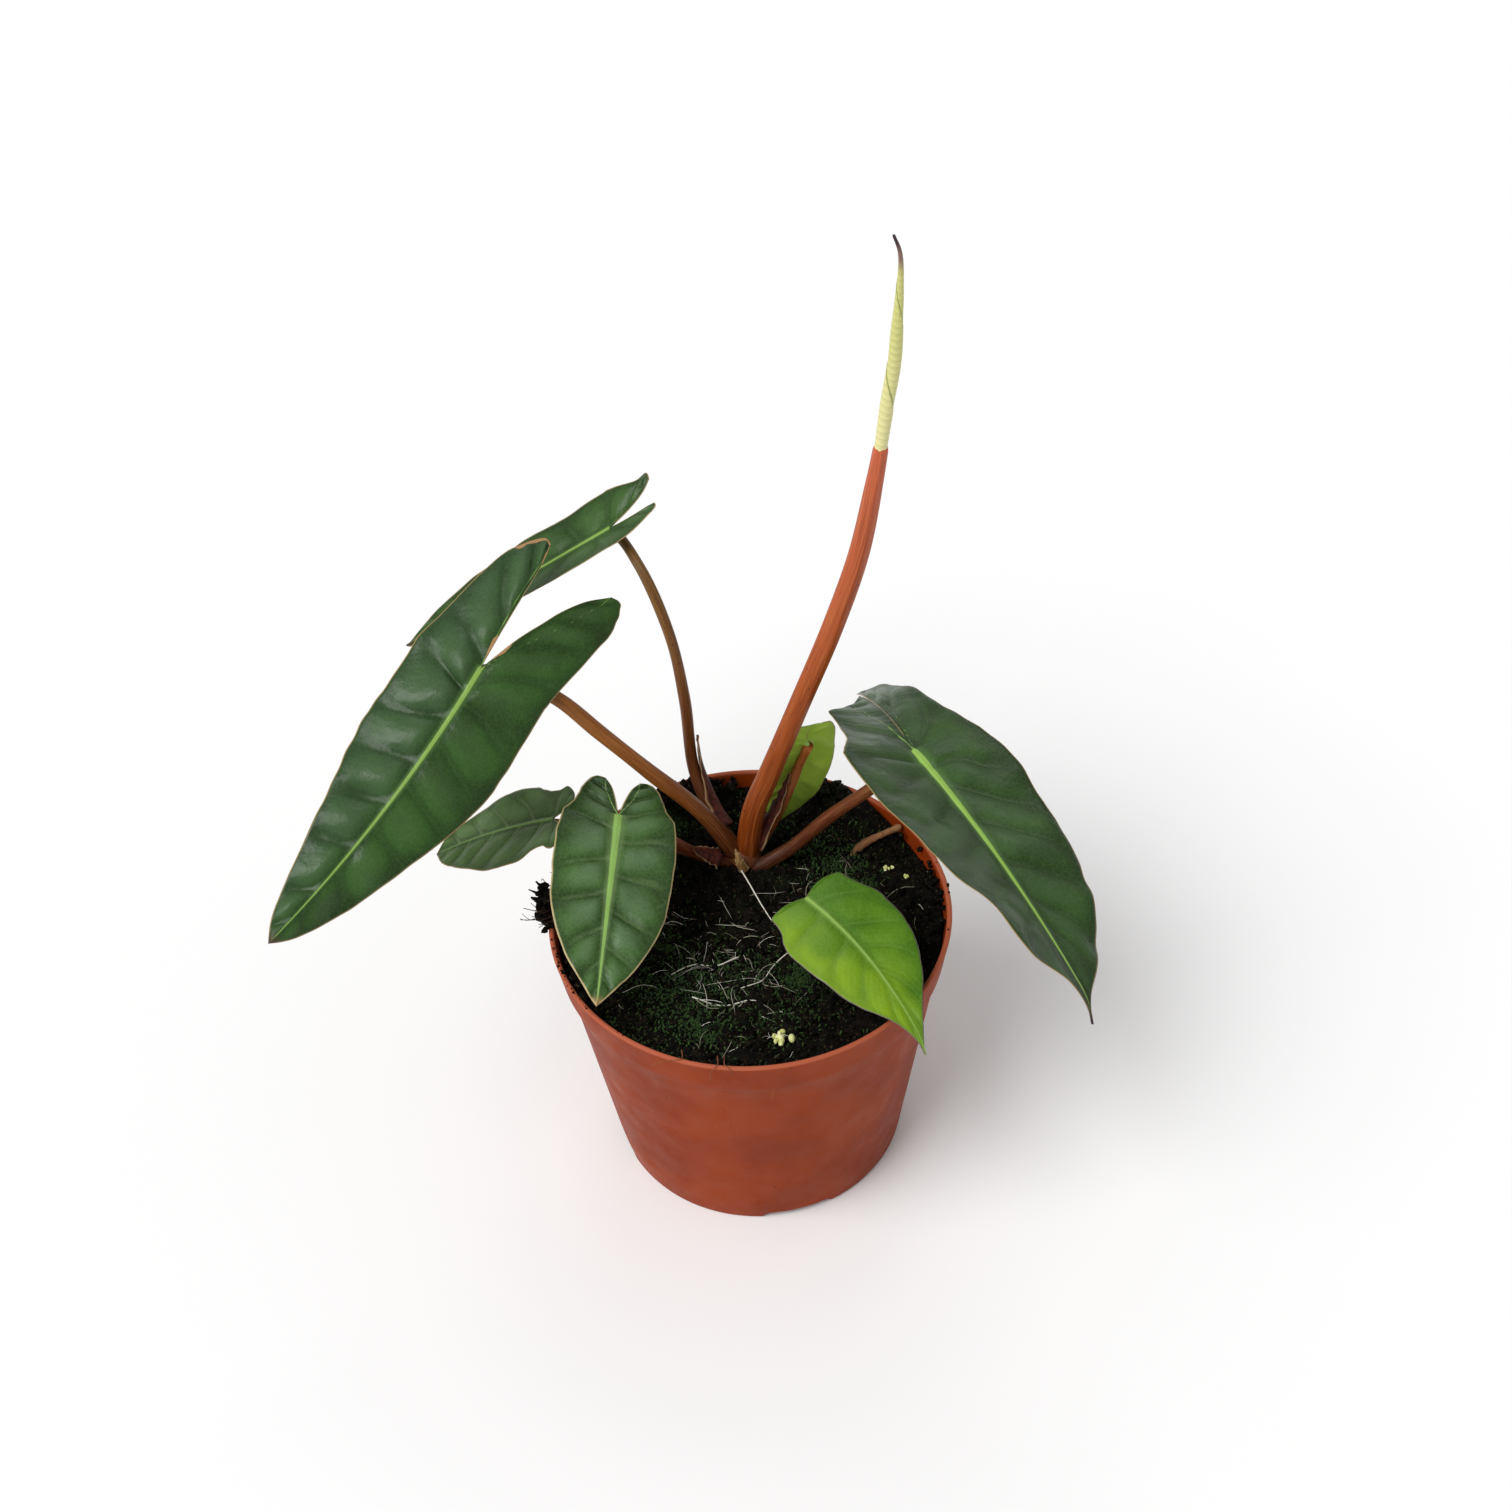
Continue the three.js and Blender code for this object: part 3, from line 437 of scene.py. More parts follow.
def leaf_skin(name, look):
    """A living leaf's waxy skin: two greens in clouds, a bright midrib and fine lateral veins that
    start off the margin, a net of tiny veins in relief, a dry pale margin, scar and tip, and a
    paler underside. Painted highlight lies on the puffed parts between the veins and painted shade lies in
    the grooves along them, and one half may carry a painted blue-grey reflection. The wax gives it broad soft
    highlights."""
    material, tree, shader = start_material(name, IOR=1.45, Roughness=0.4, Specular_IOR_Level=0.32)
    costa, costa_size, edge, lateral, upper, tip, dip, order, youth, side, scar = (
        add(tree, "Attribute", out="Fac", attribute_name=key)
        for key in ("costa", "costa_size", "edge", "lateral", "upper", "tip", "dip", "order", "youth",
                    "side", "scar"))
    colour = layer(tree, look["dark"], look["green"], speckle(tree, 14, 2), 0.35, 0.65)
    # painted reflection: a blue-grey sheen laid over one half of the blade
    if "half" in look:
        colour = layer(tree, colour, look["half"], side, -0.05, 0.3, 0.7)
    if "young" in look:
        colour = layer(tree, colour, look["young"], youth, 0.05, 0.75, 0.9)
    # painted highlight on the puffed parts between the lateral veins, and painted shade in the grooves along
    # them
    colour = layer(tree, colour, look["puff_highlight"], dip, 0.35, 0.95, look["puff_highlight_share"])
    colour = layer(tree, colour, look["hollow_shade"], dip, 0.5, 0.1, look["hollow_shade_share"])
    bright = add(tree, "Mix", {0: look["vein_share"], 6: colour, 7: look["vein"]}, data_type="RGBA")
    vein = layer(tree, colour, bright, lateral, look["vein_width"], 0.0)
    colour = layer(tree, colour, vein, edge, 0.5, 6.0)
    net = add(tree, "TexVoronoi", {0: add(tree, "TexCoord", out="Object"), "Scale": 1 / (1.5 * MM)},
              feature="DISTANCE_TO_EDGE")
    colour = layer(tree, colour, look["vein"], net, 0.12, 0.0, 0.1)
    # the midrib: widest at the joint, thinning to nothing near the tip
    width = add(tree, "Math", {0: costa_size, 1: look["rib_width"]}, operation="MULTIPLY")
    inside = add(tree, "Math", {0: costa, 1: width}, operation="DIVIDE")
    colour = layer(tree, colour, look["vein"], inside, 2.6, 0.9, 0.35)
    colour = layer(tree, colour, look["midrib"], inside, 1.0, 0.55)
    pale = add(tree, "Mix", {0: 0.45, 6: colour, 7: look["under"]}, data_type="RGBA")
    colour = layer(tree, colour, pale, upper, 0.6, 0.4)
    colour = layer(tree, colour, look["margin"], edge, look["margin_width"], look["margin_width"] * 0.3)
    colour = layer(tree, colour, "a88258", scar, 0.4, 0.6)
    colour = layer(tree, colour, look["tip"], tip, look["tip_size"], 0.0)
    fine = add(tree, "Math", {0: add(tree, "Math", {0: order, 1: 5 * TURN}, operation="MULTIPLY")},
               operation="SINE")
    finish_skin(tree, shader, colour, (net, 0.04), (fine, 0.012), (speckle(tree, 4.5, 3), 0.35),
                gloss=(look["gloss"] - 0.06, look["gloss"] + 0.08))
    return material


# ---------- leaf blades ----------
# Ten ribs of half a leaf, from the end of its lobe to its tip. inner and outer say where they start and
# end along it, as shares of its length ahead of the joint and of its lobe behind it. notch says how far
# off the middle they start, as a share of half its width.
ARROW = {"inner": (-1, -0.8, -0.42, 0, 0.13, 0.31, 0.51, 0.71, 0.88, 1),
         "outer": (-1, -1, -0.74, -0.25, 0.12, 0.33, 0.56, 0.78, 0.93, 1),
         "notch": (0.42, 0.27, 0.12, 0, 0, 0, 0, 0, 0, 0)}
HEART = {"inner": (-1, -0.75, -0.35, 0, 0.15, 0.33, 0.52, 0.7, 0.87, 1),
         "outer": (-1, -0.95, -0.45, 0.02, 0.2, 0.42, 0.62, 0.78, 0.91, 1),
         "notch": (0.34, 0.22, 0.08, 0, 0, 0, 0, 0, 0, 0)}
LOBE_SHARE = 1 / 3  # of the ribs stand behind the joint
MIDRIB_SOFTNESS = 3

# the colours for the puffed parts between the veins and for the grooves along them are painted highlight and
# painted shade
DARK_LEAF = dict(
    dark="254015", green="33541d", puff_highlight="566e48", puff_highlight_share=0.2, hollow_shade="14260c", hollow_shade_share=0.45,
    vein="5f8a44", vein_width=0.9, vein_share=0.08, midrib="86a84e", rib_width=0.92, under="6f8f5a",
    margin="9a8458", margin_width=0.45, tip="4a3424", tip_size=5.0, gloss=0.36)
PLAIN_BLADE = dict(cup=0, skew=0, lobes=(1, 1), blunt=(1, 1), basal=(0.4, 0.4), basal_size=0.15,
                   hook=(0.9, 0), scar=0)
# Each leaf's joint counts from the crown. Heading, pitch and roll are its directions there, and swerve,
# droop and twist say how far they change by its tip. A pair is for the left and right half.
LEAVES = {
    "big_left": dict(
        PLAIN_BLADE, joint=(-72, 2, 81.5), heading=234, pitch=-27, droop=-3, swerve=-16, roll=20, twist=20,
        length=97, lobe=44, width=40, lobe_rise=17, spread=(12, -5), fold=(-15, -1), cup=0.12, shape=ARROW,
        margin=(0.42, 0.6, 0.85, 0.98, 1.04, 1.02, 0.78, 0.5, 0.24, 0), veins=12, lean=0.1,
        quilt=(0.9, 2.7), waves=1.4, basal=(0.5, 0.12), basal_size=0.26, scar=1,
        # half is a painted blue-grey reflection on one half of the blade
        look=dict(DARK_LEAF, half="385234", green="31551d")),
    "rear": dict(
        PLAIN_BLADE, joint=(-35, 48.5, 93), heading=185, pitch=-30, droop=1, swerve=-3, roll=2, twist=0,
        length=75, lobe=18, width=24.5, lobe_rise=-15, spread=(-3, 3), fold=(16, 16), shape=ARROW,
        margin=(0.42, 0.64, 0.72, 0.98, 1, 1, 0.84, 0.58, 0.26, 0), veins=11, lean=0.6, quilt=(1.0, 1.4),
        waves=0.8, look=dict(DARK_LEAF, rib_width=0.7)),
    "front_left": dict(
        PLAIN_BLADE, joint=(-36.5, -8, 30), heading=265, pitch=-4, droop=19, swerve=-3, roll=11, twist=6,
        length=63, lobe=13, width=34.5, lobe_rise=-3, spread=(-9, -10), fold=(-3, 2), cup=0.03, shape=ARROW,
        skew=-0.02, margin=(0.42, 0.62, 0.77, 0.85, 1.03, 1.03, 0.95, 0.62, 0.22, 0), veins=9.5, lean=0.25,
        quilt=(2.0, 2.0), waves=1.2,
        look=dict(DARK_LEAF, dark="2f4b1e", green="3e6029", puff_highlight="688460", puff_highlight_share=0.45, vein="86a468",
                  vein_share=0.2, midrib="8cb45c", rib_width=1.5, margin="b9a878", margin_width=0.6,
                  tip="a98a5a", tip_size=4.0)),
    "low_left": dict(
        PLAIN_BLADE, joint=(-56.5, -3.5, 25.5), heading=172, pitch=-17, droop=18, swerve=0, roll=-3, twist=9,
        length=42, lobe=5.5, width=34, lobe_rise=4, spread=(10, 4), fold=(5, 0), cup=0.04, shape=HEART,
        skew=-0.03, margin=(0.34, 0.6, 0.83, 0.76, 0.95, 0.92, 0.73, 0.54, 0.32, 0), veins=8, lean=0.5,
        quilt=(0.6, 0.6), waves=0.8,
        look=dict(DARK_LEAF, dark="3c5824", green="52703a", vein="7a9458", vein_share=0.3, midrib="6f944a",
                  rib_width=0.55, tip_size=2.0)),
    "right": dict(
        PLAIN_BLADE, joint=(51.5, -6.5, 48.5), heading=293, pitch=7, droop=19, swerve=-2, roll=8, twist=30,
        length=108, lobe=62, width=49.5, lobe_rise=36, spread=(1, -7), fold=(12, 14), shape=ARROW, skew=0.07,
        margin=(0.42, 0.66, 0.67, 0.75, 0.99, 1, 0.94, 0.6, 0.08, 0), hook=(0.88, 55), veins=13, lean=0.6,
        quilt=(1.3, 1.3), waves=1.2,
        notch=((0.34, 0.24, 0.11, 0, 0, 0, 0, 0, 0, 0), (0.02, 0.01, 0, 0, 0, 0, 0, 0, 0, 0)),
        lobes=(1.03, 0.86), blunt=(1, 0.54),
        look=dict(DARK_LEAF, dark="233c12", green="2e4c1a", puff_highlight="485e48", midrib="94bd52", rib_width=1.5,
                  tip="2a1822", tip_size=13.0)),
    "small_rear": dict(
        PLAIN_BLADE, joint=(20, 8.8, 40.6), heading=147, pitch=-76, droop=-4, swerve=-6, roll=-32, twist=-12,
        length=43.5, lobe=8, width=22, lobe_rise=8, spread=(1, -1), fold=(7, 0), shape=HEART,
        margin=(0.34, 0.61, 0.85, 0.94, 1.04, 1.07, 0.95, 0.66, 0.24, 0), veins=8, lean=0.6,
        quilt=(0.5, 0.5), waves=0.7, notch=((-0.03, -0.02, -0.01, 0, 0, 0, 0, 0, 0, 0),) * 2,
        look=dict(DARK_LEAF, dark="88b42c", green="a8cc3c", puff_highlight="a8cc54", puff_highlight_share=0.3, hollow_shade="689a2c",
                  under="bcd858", vein="9cc060", midrib="a4c878", rib_width=0.7, tip_size=2.0,
                  vein_share=0.4)),
    "front_right": dict(
        PLAIN_BLADE, joint=(17.5, -35, 19.5), heading=310, pitch=2, droop=32, swerve=-14, roll=-1, twist=6,
        length=61, lobe=1.5, width=30, lobe_rise=0, spread=(0, -1), fold=(4, 0), cup=0.02, shape=HEART,
        margin=(0.34, 0.6, 0.83, 0.91, 1.16, 1.09, 0.8, 0.36, 0.09, 0), hook=(0.86, 35), veins=9, lean=0.6,
        quilt=(0.5, 0.5), waves=0.9,
        look=dict(DARK_LEAF, dark="4a741a", green="5c851e", puff_highlight="729a2e", hollow_shade="3a641c", hollow_shade_share=0.3,
                  young="88aa20", vein="97b95a", midrib="93b858", rib_width=0.6, margin="6f6258",
                  margin_width=0.4, tip="6d8a30", tip_size=3.0, vein_share=0.12)),
}


def posture(leaf, s):
    """A leaf's own directions at distances s along its midrib: along, across and square to it. The
    heading, pitch and roll change evenly from the joint to the tip, and the pitch behind the joint. A
    hooked tip also bends down by the hook's angle from its share of the length on."""
    ahead, behind = np.maximum(s, 0) / leaf["length"], np.maximum(-s, 0) / leaf["lobe"]
    heading = np.radians(leaf["heading"] + leaf["swerve"] * ahead)
    pitch = np.radians(leaf["pitch"] - leaf["droop"] * ahead + leaf["lobe_rise"] * behind)
    roll = np.radians(leaf["roll"] + leaf["twist"] * ahead)[..., None]
    start, hook = leaf["hook"]
    pitch = pitch - np.radians(hook) * step(start, 1, ahead)
    along = np.stack([np.cos(pitch) * np.cos(heading), np.cos(pitch) * np.sin(heading), np.sin(pitch)], -1)
    level = np.stack([np.sin(heading), -np.cos(heading), np.zeros_like(heading)], -1)
    upright = np.cross(level, along)
    across = np.cos(roll) * level + np.sin(roll) * upright
    return along, across, np.cos(roll) * upright - np.sin(roll) * level


def midrib(leaf, s):
    """The midrib's place at distances s: the joint plus its direction added up in small steps."""
    pieces = 48
    middle = (np.arange(pieces) + 0.5) / pieces
    along = posture(leaf, s[..., None] * middle)[0]
    return from_crown(leaf["joint"]) + (along * (s / pieces)[..., None, None]).sum(-2)


def blade_surface(leaf, s, y, height):
    """Points of a blade: the midrib plus y across it, raised by the fold of that half and lowered by
    the square of y for its cup, plus a height off its middle surface."""
    _, across, normal = posture(leaf, s)
    slope = np.tan(np.radians(np.where(y >= 0, leaf["fold"][1], leaf["fold"][0])))
    rise = slope * (np.hypot(y, MIDRIB_SOFTNESS) - MIDRIB_SOFTNESS)
    hollow = leaf["cup"] / (leaf["width"] / 2) * y * y
    return midrib(leaf, s) + across * y[..., None] + normal * (rise - hollow + height)[..., None]


def blade_plan(leaf, side, t, v, seed):
    """One half of a blade spread out flat: how far along and across it each point is, and how long its
    rib is. A rib at t runs straight from the midrib, or from the notch behind the joint, to the
    margin, and v goes from 0 to 1 along it. Soft noise makes the margin a little ragged."""
    hand, half, shape = side > 0, leaf["width"] / 2, leaf["shape"]
    length = lambda share, lobe: share * np.where(share >= 0, leaf["length"], leaf["lobe"] * lobe)
    reach = lambda share: share * half * (1 + side * leaf["skew"])
    inner_s = length(spline(shape["inner"], t), leaf["lobes"][hand])[:, None]
    outer_s = length(spline(shape["outer"], t), leaf["lobes"][hand] * leaf["blunt"][hand])[:, None]
    lobe_turn = np.tan(np.radians(leaf["spread"][hand]))
    ragged = 0.012 * grain(t * 40, np.full_like(t, side * 3.0), 1.0, seed)
    ragged = 1 + ragged * step(0, 0.1, t) * step(1, 0.9, t)
    notch = spline(leaf.get("notch", (shape["notch"],) * 2)[hand], t)
    inner_y = np.where(ahead_of_joint(t), 0, reach(notch)[:, None] + np.maximum(-inner_s, 0) * lobe_turn)
    outer_y = (reach(spline(leaf["margin"], t)) * ragged)[:, None] + np.maximum(-outer_s, 0) * lobe_turn
    s = inner_s + (outer_s - inner_s) * v
    y = side * (inner_y + (outer_y - inner_y) * v)
    return s, y, np.hypot(outer_s - inner_s, outer_y - inner_y)


def ahead_of_joint(t):
    """Which ribs leave the midrib, and not the notch behind the joint, as a column."""
    return (t >= LOBE_SHARE - 1e-9)[:, None]


def blade_half(leaf, side, t, v, seed):
    """One half of a blade: its plan, its marks and the heights of its lower and upper skin. Between
    lateral veins it is puffed up by the size of a sine to the power 0.85, waves of soft noise run
    over it, and the main vein lies in a groove above and stands out as a keel below, both
    bell-shaped across it. The marks say how far each point is from the veins, margin and tip."""
    s, y, rib_length = blade_plan(leaf, side, t, v, seed)
    hand, half, rib_at, joined = side > 0, leaf["width"] / 2, t[:, None], ahead_of_joint(t)
    # the main vein of a lobe starts at the joint and moves out across the ribs
    basal = leaf["basal"][hand] * step(LOBE_SHARE, 0.1, rib_at) ** 0.7
    costa = np.where(joined, np.abs(y), np.abs(v - basal) * rib_length)
    costa_size = np.where(joined, 1 - 0.9 * step(LOBE_SHARE, 1.05, rib_at) ** 0.8,
                          leaf["basal_size"] * (rib_at / LOBE_SHARE) ** 0.5) * np.ones_like(v)
    edge = (1 - v) * rib_length
    from_notch = v * rib_length + 2.5 * step(0.28, LOBE_SHARE, rib_at)
    edge = np.where(joined, edge, np.minimum(edge, from_notch))
    lean = np.tanh((rib_at - LOBE_SHARE) / 0.07)
    order = leaf["veins"] * (rib_at - leaf["lean"] * lean * (0.07 * v + 0.035 * v**2)) + 0.25 * side
    order = order + 0.28 * grain(s, y, 16, seed + 5)
    spacing = 1.5 * leaf["length"] / leaf["veins"]
    pillow = np.abs(np.sin(np.pi * order)) ** 0.85
    rise = step(0, 5, v * rib_length) * (1 - v**3) * step(0, 0.05, rib_at) * step(1, 0.94, rib_at)
    strength = 1 + 0.7 * grain(s, y, 17, seed + 6)
    relief = leaf["quilt"][hand] * (pillow - 0.55) * rise * strength
    swell = 0.9 * grain(s, y, 15, seed) + 0.4 * grain(s, y, 7, seed + 1)
    relief = relief + leaf["waves"] * swell * step(0, 8, np.abs(y))
    relief = relief + 0.6 * leaf["waves"] * grain(s, y * 0 + side, 12, seed + 2) * v**2
    relief = relief - 0.45 * costa_size * np.exp(-(costa / 2.4) ** 2)
    ridge = 0.4 * costa_size * np.exp(-(costa / 0.9) ** 2)
    keel = costa_size * np.exp(-(costa / 1.2) ** 2) * np.where(joined, 1.2, 0.8)
    thick = (0.5 - 0.3 * np.where(joined, v, np.maximum(v, 1 - v)) ** 2) / 2
    # papery edge in the notch, and at the end of one lobe
    torn = step(-0.5, -2, s) * step(-13, -9, s) * step(0.5, 0.3, v) + hand * step(-35, -39, s)
    torn = leaf["scar"] * torn * step(1.8, 0.6, edge + 0.6 * grain(s, y, 2.5, seed + 8))
    marks = {"costa": costa, "costa_size": costa_size, "edge": edge, "order": order, "scar": torn,
             "lateral": np.abs((order + 0.5) % 1 - 0.5) * spacing, "side": y / half, "dip": pillow * rise,
             "tip": np.hypot(leaf["length"] - s, y),
             "youth": (y / half + s / leaf["length"]) / 2 + 0.25 * grain(s, y, 9, seed + 3)}
    return s, y, marks, (relief + (-thick - keel), relief + (thick + ridge))


def leaf_blade(leaf, seed):
    """A closed blade from four grids, a lower and an upper skin on each side of the midrib, joined by
    walls along the margin, along the notch behind the joint and across the ends of the lobes."""
    lobe_rows, blade_rows, columns = 36, 96, 26
    t = np.r_[np.arange(lobe_rows) / lobe_rows * LOBE_SHARE, np.linspace(LOBE_SHARE, 1, blade_rows)]
    v = np.linspace(0, 1, columns) ** 1.35
    cells = grid_faces(len(t), columns)
    parts = []
    for side in (1, -1):
        s, y, marks, heights = blade_half(leaf, side, t, v, seed)
        for upper in (1, 0):
            points = blade_surface(leaf, s, y, heights[upper]).reshape(-1, 3)
            faces = cells if (side > 0) != bool(upper) else cells[:, ::-1]
            parts.append((points, [faces], dict(marks, upper=np.full(y.shape, float(upper)))))
    points, faces, marks = together(parts)
    size = len(t) * columns
    margin = np.arange(len(t)) * columns + columns - 1
    notch, end = np.arange(lobe_rows + 1) * columns, np.arange(columns)
    for part, side in ((0, 1), (2, -1)):
        for rim, turned in ((margin, False), (notch, True), (end, True)):
            top = part * size + rim
            wall = np.stack([top[:-1], top[1:], top[1:] + size, top[:-1] + size], -1)
            faces.append(wall if (side > 0) != turned else wall[:, ::-1])
    return points, faces, marks


# ---------- petioles and the new leaf ----------
PETIOLES = {
    "big_left": dict(route=((-1.5, 0, 1), (-12.6, 0.3, 21.7), (-26.5, 0.9, 38.5), (-40, 2.3, 54.2),
                            (-52, 4.4, 67.2), (-63, 5, 73.5)),
                     thickness=4.6, flare=1.25, colours=("4e220e", "8f521b", "8a5a22")),
    "rear": dict(route=((-2, 4, 0), (-9.3, 12.8, 8.4), (-14, 19.5, 20), (-15.4, 21.1, 48.7), (-18.5, 25, 71),
                        (-26, 36, 88)), thickness=3.4, flare=1.3, colours=("55230f", "70401a", "66501e")),
    "front_left": dict(route=((-2, -1, -1), (-13.4, -3, 6), (-21.2, -4.7, 14.5), (-29, -6.5, 23)),
                       thickness=3.4, flare=1.2, colours=("3e1a10", "7a3a1c", "86602c")),
    "low_left": dict(route=((-3, 1, -2), (-18, 1, 4), (-38, -1.5, 14)), thickness=2.8, flare=1.2,
                     colours=("6e351c", "7d4a22", "7a6030")),
    "right": dict(route=((2, -4, -1), (14, -3.5, 7.5), (26, -4, 20.8), (37, -5, 31.5)), thickness=4,
                  flare=1.2, colours=("34160c", "6a3418", "7a4a24")),
    "small_rear": dict(route=((2, 1, -1), (6.8, 2.3, 8), (13.1, 5, 19.8), (18.2, 8, 32.4)), thickness=3,
                       flare=1.3, colours=("6a2f1a", "8a4a20", "c87430")),
    "front_right": dict(route=((27, -39, -9), (26, -38, 1), (22.5, -36.5, 11)), thickness=2.6, flare=1.15,
                        colours=("7a4a22", "8a6a30", "8a9a40")),
}
NEW_PETIOLE = dict(
    route=((0.5, 0, -1), (3.6, 0.9, 20.5), (8.6, 2.5, 33.5), (18.8, 5.7, 59.5), (28.7, 8.7, 85),
           (36.5, 11, 109.5), (41.2, 12.4, 134), (43.1, 13.2, 145.5)),
    radii=(3.6, 3.5, 3.2, 3.1, 3.1, 3.0, 2.7, 2.1))
ROLL_TURNS = 2.6
ROLLED_LEAF = dict(
    route=((42.4, 12.9, 141.5), (44.3, 13.5, 156.5), (46.2, 13.5, 169.5), (47, 13, 182.5), (47.6, 12, 194.5),
           (47.4, 10, 206.5), (45.7, 9, 212.5)), radii=(1.75, 1.85, 1.85, 1.75, 1.25, 0.75, 0.4))


def petiole_tube(name):
    """A petiole: a tube that narrows from its base, dimpled along its upper side by a cosine of the
    angle, and that runs on a little way under the blade's midrib, where it thins out."""
    stalk, leaf = PETIOLES[name], LEAVES[name]
    under = np.array([0.0, 5.0, 12.0])  # distances under the midrib
    depth = np.array([0.5 * stalk["thickness"] + 0.5, 1.5, 0.9])
    ends = midrib(leaf, under) - posture(leaf, under)[2] * depth[:, None]
    count = 60
    path = path_through(np.concatenate([from_crown(stalk["route"]), ends]), count)
    t = np.linspace(0, 1, count)
    whole = np.linalg.norm(np.diff(path, axis=0), axis=1).sum()
    before = 1 - under[-1] / whole
    narrowing = (0.9 - stalk["flare"]) * np.sqrt(np.clip(t / before, 0, 1))
    radius = stalk["thickness"] / 2 * (stalk["flare"] + narrowing)
    radius = radius * (1 + 0.12 * np.exp(-((t - before) * whole / 4) ** 2)) * (1 - 0.78 * step(before, 1, t))
    radius = radius * (1 + 0.03 * np.sin(t * 23 + whole))
    groove = lambda at, angle: 1 - 0.1 * np.clip(np.cos(angle - np.pi / 2), 0, 1) ** 6
    return tube(path, radius, 20, shape=groove)


def rolled_tube():
    """The rolled leaf: the radius grows by a tenth round each turn and drops back along a slow
    helix, which is the edge of the blade wound round itself."""
    count = 120
    t = np.linspace(0, 1, count)
    path = path_through(from_crown(ROLLED_LEAF["route"]), count)
    turns = lambda at, angle: 0.94 + 0.13 * ((angle / TURN + ROLL_TURNS * at) % 1)
    return tube(path, spline(ROLLED_LEAF["radii"], t), 40, shape=turns)


def clasp(route, radii, spreads, facing, wall=0.45, seed=1, frill=0.25):
    """A sheath that clasps a stalk: part of a tube's wall round a path. Its middle looks towards
    facing, half its angle goes from one spread to the other, and its edges curl out in a frill."""
    rows, columns = 40, 18
    path = path_through(from_crown(route), rows)
    t = np.linspace(0, 1, rows)[:, None]
    u = np.linspace(-1, 1, columns)[None]
    along = unit(np.gradient(path, axis=0))
    front = np.broadcast_to(np.asarray(facing, float), along.shape)
    front = unit(front - along * (front * along).sum(-1, keepdims=True))
    side = np.cross(along, front)
    spread = spreads[0] + (spreads[1] - spreads[0]) * t
    spread = spread * (1 + 0.12 * grain(t * 9, t * 0, 1.0, seed)) * np.sqrt(np.clip(1.02 - t**6, 0.02, 1))
    angle = spread * u
    radius = radii[0] + (radii[1] - radii[0]) * t
    ruffle = 0.6 + 0.8 * grain(t * 14, np.sign(u) * 2 + t * 0, 1.0, seed + 1)
    radius = radius * (1 + frill * np.abs(u) ** 4 * ruffle)
    skins = []
    for offset in (wall, 0.0):
        far = (radius + offset * (1 - 0.6 * u**2))[..., None]
        skins.append(path[:, None] + far * (np.cos(angle)[..., None] * front[:, None]
                                            + np.sin(angle)[..., None] * side[:, None]))
    rings = np.concatenate([skins[0], skins[1][:, ::-1]], 1)
    faces = [grid_faces(rows, 2 * columns, closed=True)]
    j = np.arange(columns - 1)
    for first, turned in ((0, True), ((rows - 1) * 2 * columns, False)):
        cap = np.stack([j, j + 1, 2 * columns - 2 - j, 2 * columns - 1 - j], -1) + first
        faces.append(cap[:, ::-1] if turned else cap)
    shape = rings.shape[:2]
    rim = np.concatenate([np.abs(u), np.abs(u)[:, ::-1]], 1)
    marks = {"along": t, "rim": rim, "turn": rim / 4}
    return rings.reshape(-1, 3), faces, {key: np.broadcast_to(value, shape) for key, value in marks.items()}


def sheath_skin(name, dark, light, edge):
    """A papery sheath: reddish skin with lengthwise fibres, dried to a pale edge."""
    material, tree, shader = start_material(name, Roughness=0.6, IOR=1.45, Specular_IOR_Level=0.3)
    fibre = speckle(tree, 1.0, 3, 0.6, (1, 1, 0.15))
    colour = layer(tree, dark, light, fibre, 0.4, 0.62)
    rim = add(tree, "Attribute", out="Fac", attribute_name="rim")
    colour = layer(tree, colour, edge, rim, 0.8, 0.97, 0.85)
    finish_skin(tree, shader, colour, (fibre, 0.15))
    return material


# ---------- settings ----------
class PotSettings(bpy.types.PropertyGroup):
    """Sizes and colour of the pot."""
    wall: FloatProperty(name="Wall", description="Thickness of the pot's wall", default=1.6 * MM,
                        unit="LENGTH")
    plastic: FloatVectorProperty(name="Plastic", description="Colour of the moulded plastic",
                                 default=linear("93390e")[:3], size=3, subtype="COLOR", min=0, max=1)
    segments: IntProperty(name="Segments", description="Flats round the pot", default=256, min=32)


class PeatSettings(bpy.types.PropertyGroup):
    """How rough the peat is and how much lies on it."""
    roughness: FloatProperty(name="Roughness", description="Height of the crumbs on its surface",
                             default=1.1 * MM, unit="LENGTH")
    crumbs: IntProperty(name="Crumbs", description="Loose crumbs on the surface", default=1500, min=0)
    strands: IntProperty(name="Fine roots", description="Short pale roots on the surface", default=220,
                         min=0)
    moss: IntProperty(name="Moss leaves", description="Leaflets in each patch of moss", default=420, min=0)


class LeafSettings(bpy.types.PropertyGroup):
    """How the leaves are shaped in detail."""
    relief: FloatProperty(name="Relief", description="Share of the puffed relief between the veins",
                          default=1.0, min=0, max=2, subtype="FACTOR")


class StageSettings(bpy.types.PropertyGroup):
    """Floor, lights and camera."""
    floor: FloatVectorProperty(name="Floor", description="Colour of the floor", default=linear("f7f7f7")[:3],
                               size=3, subtype="COLOR", min=0, max=1)
    key_power: FloatProperty(name="Key light", description="Strength of the large soft light",
                             default=2.28, min=0)
    sky_power: FloatProperty(name="Sky", description="Strength of the even light all round",
                             default=0.47, min=0)
    lens: FloatProperty(name="Lens", description="Focal length of the camera", default=57.14, unit="CAMERA")


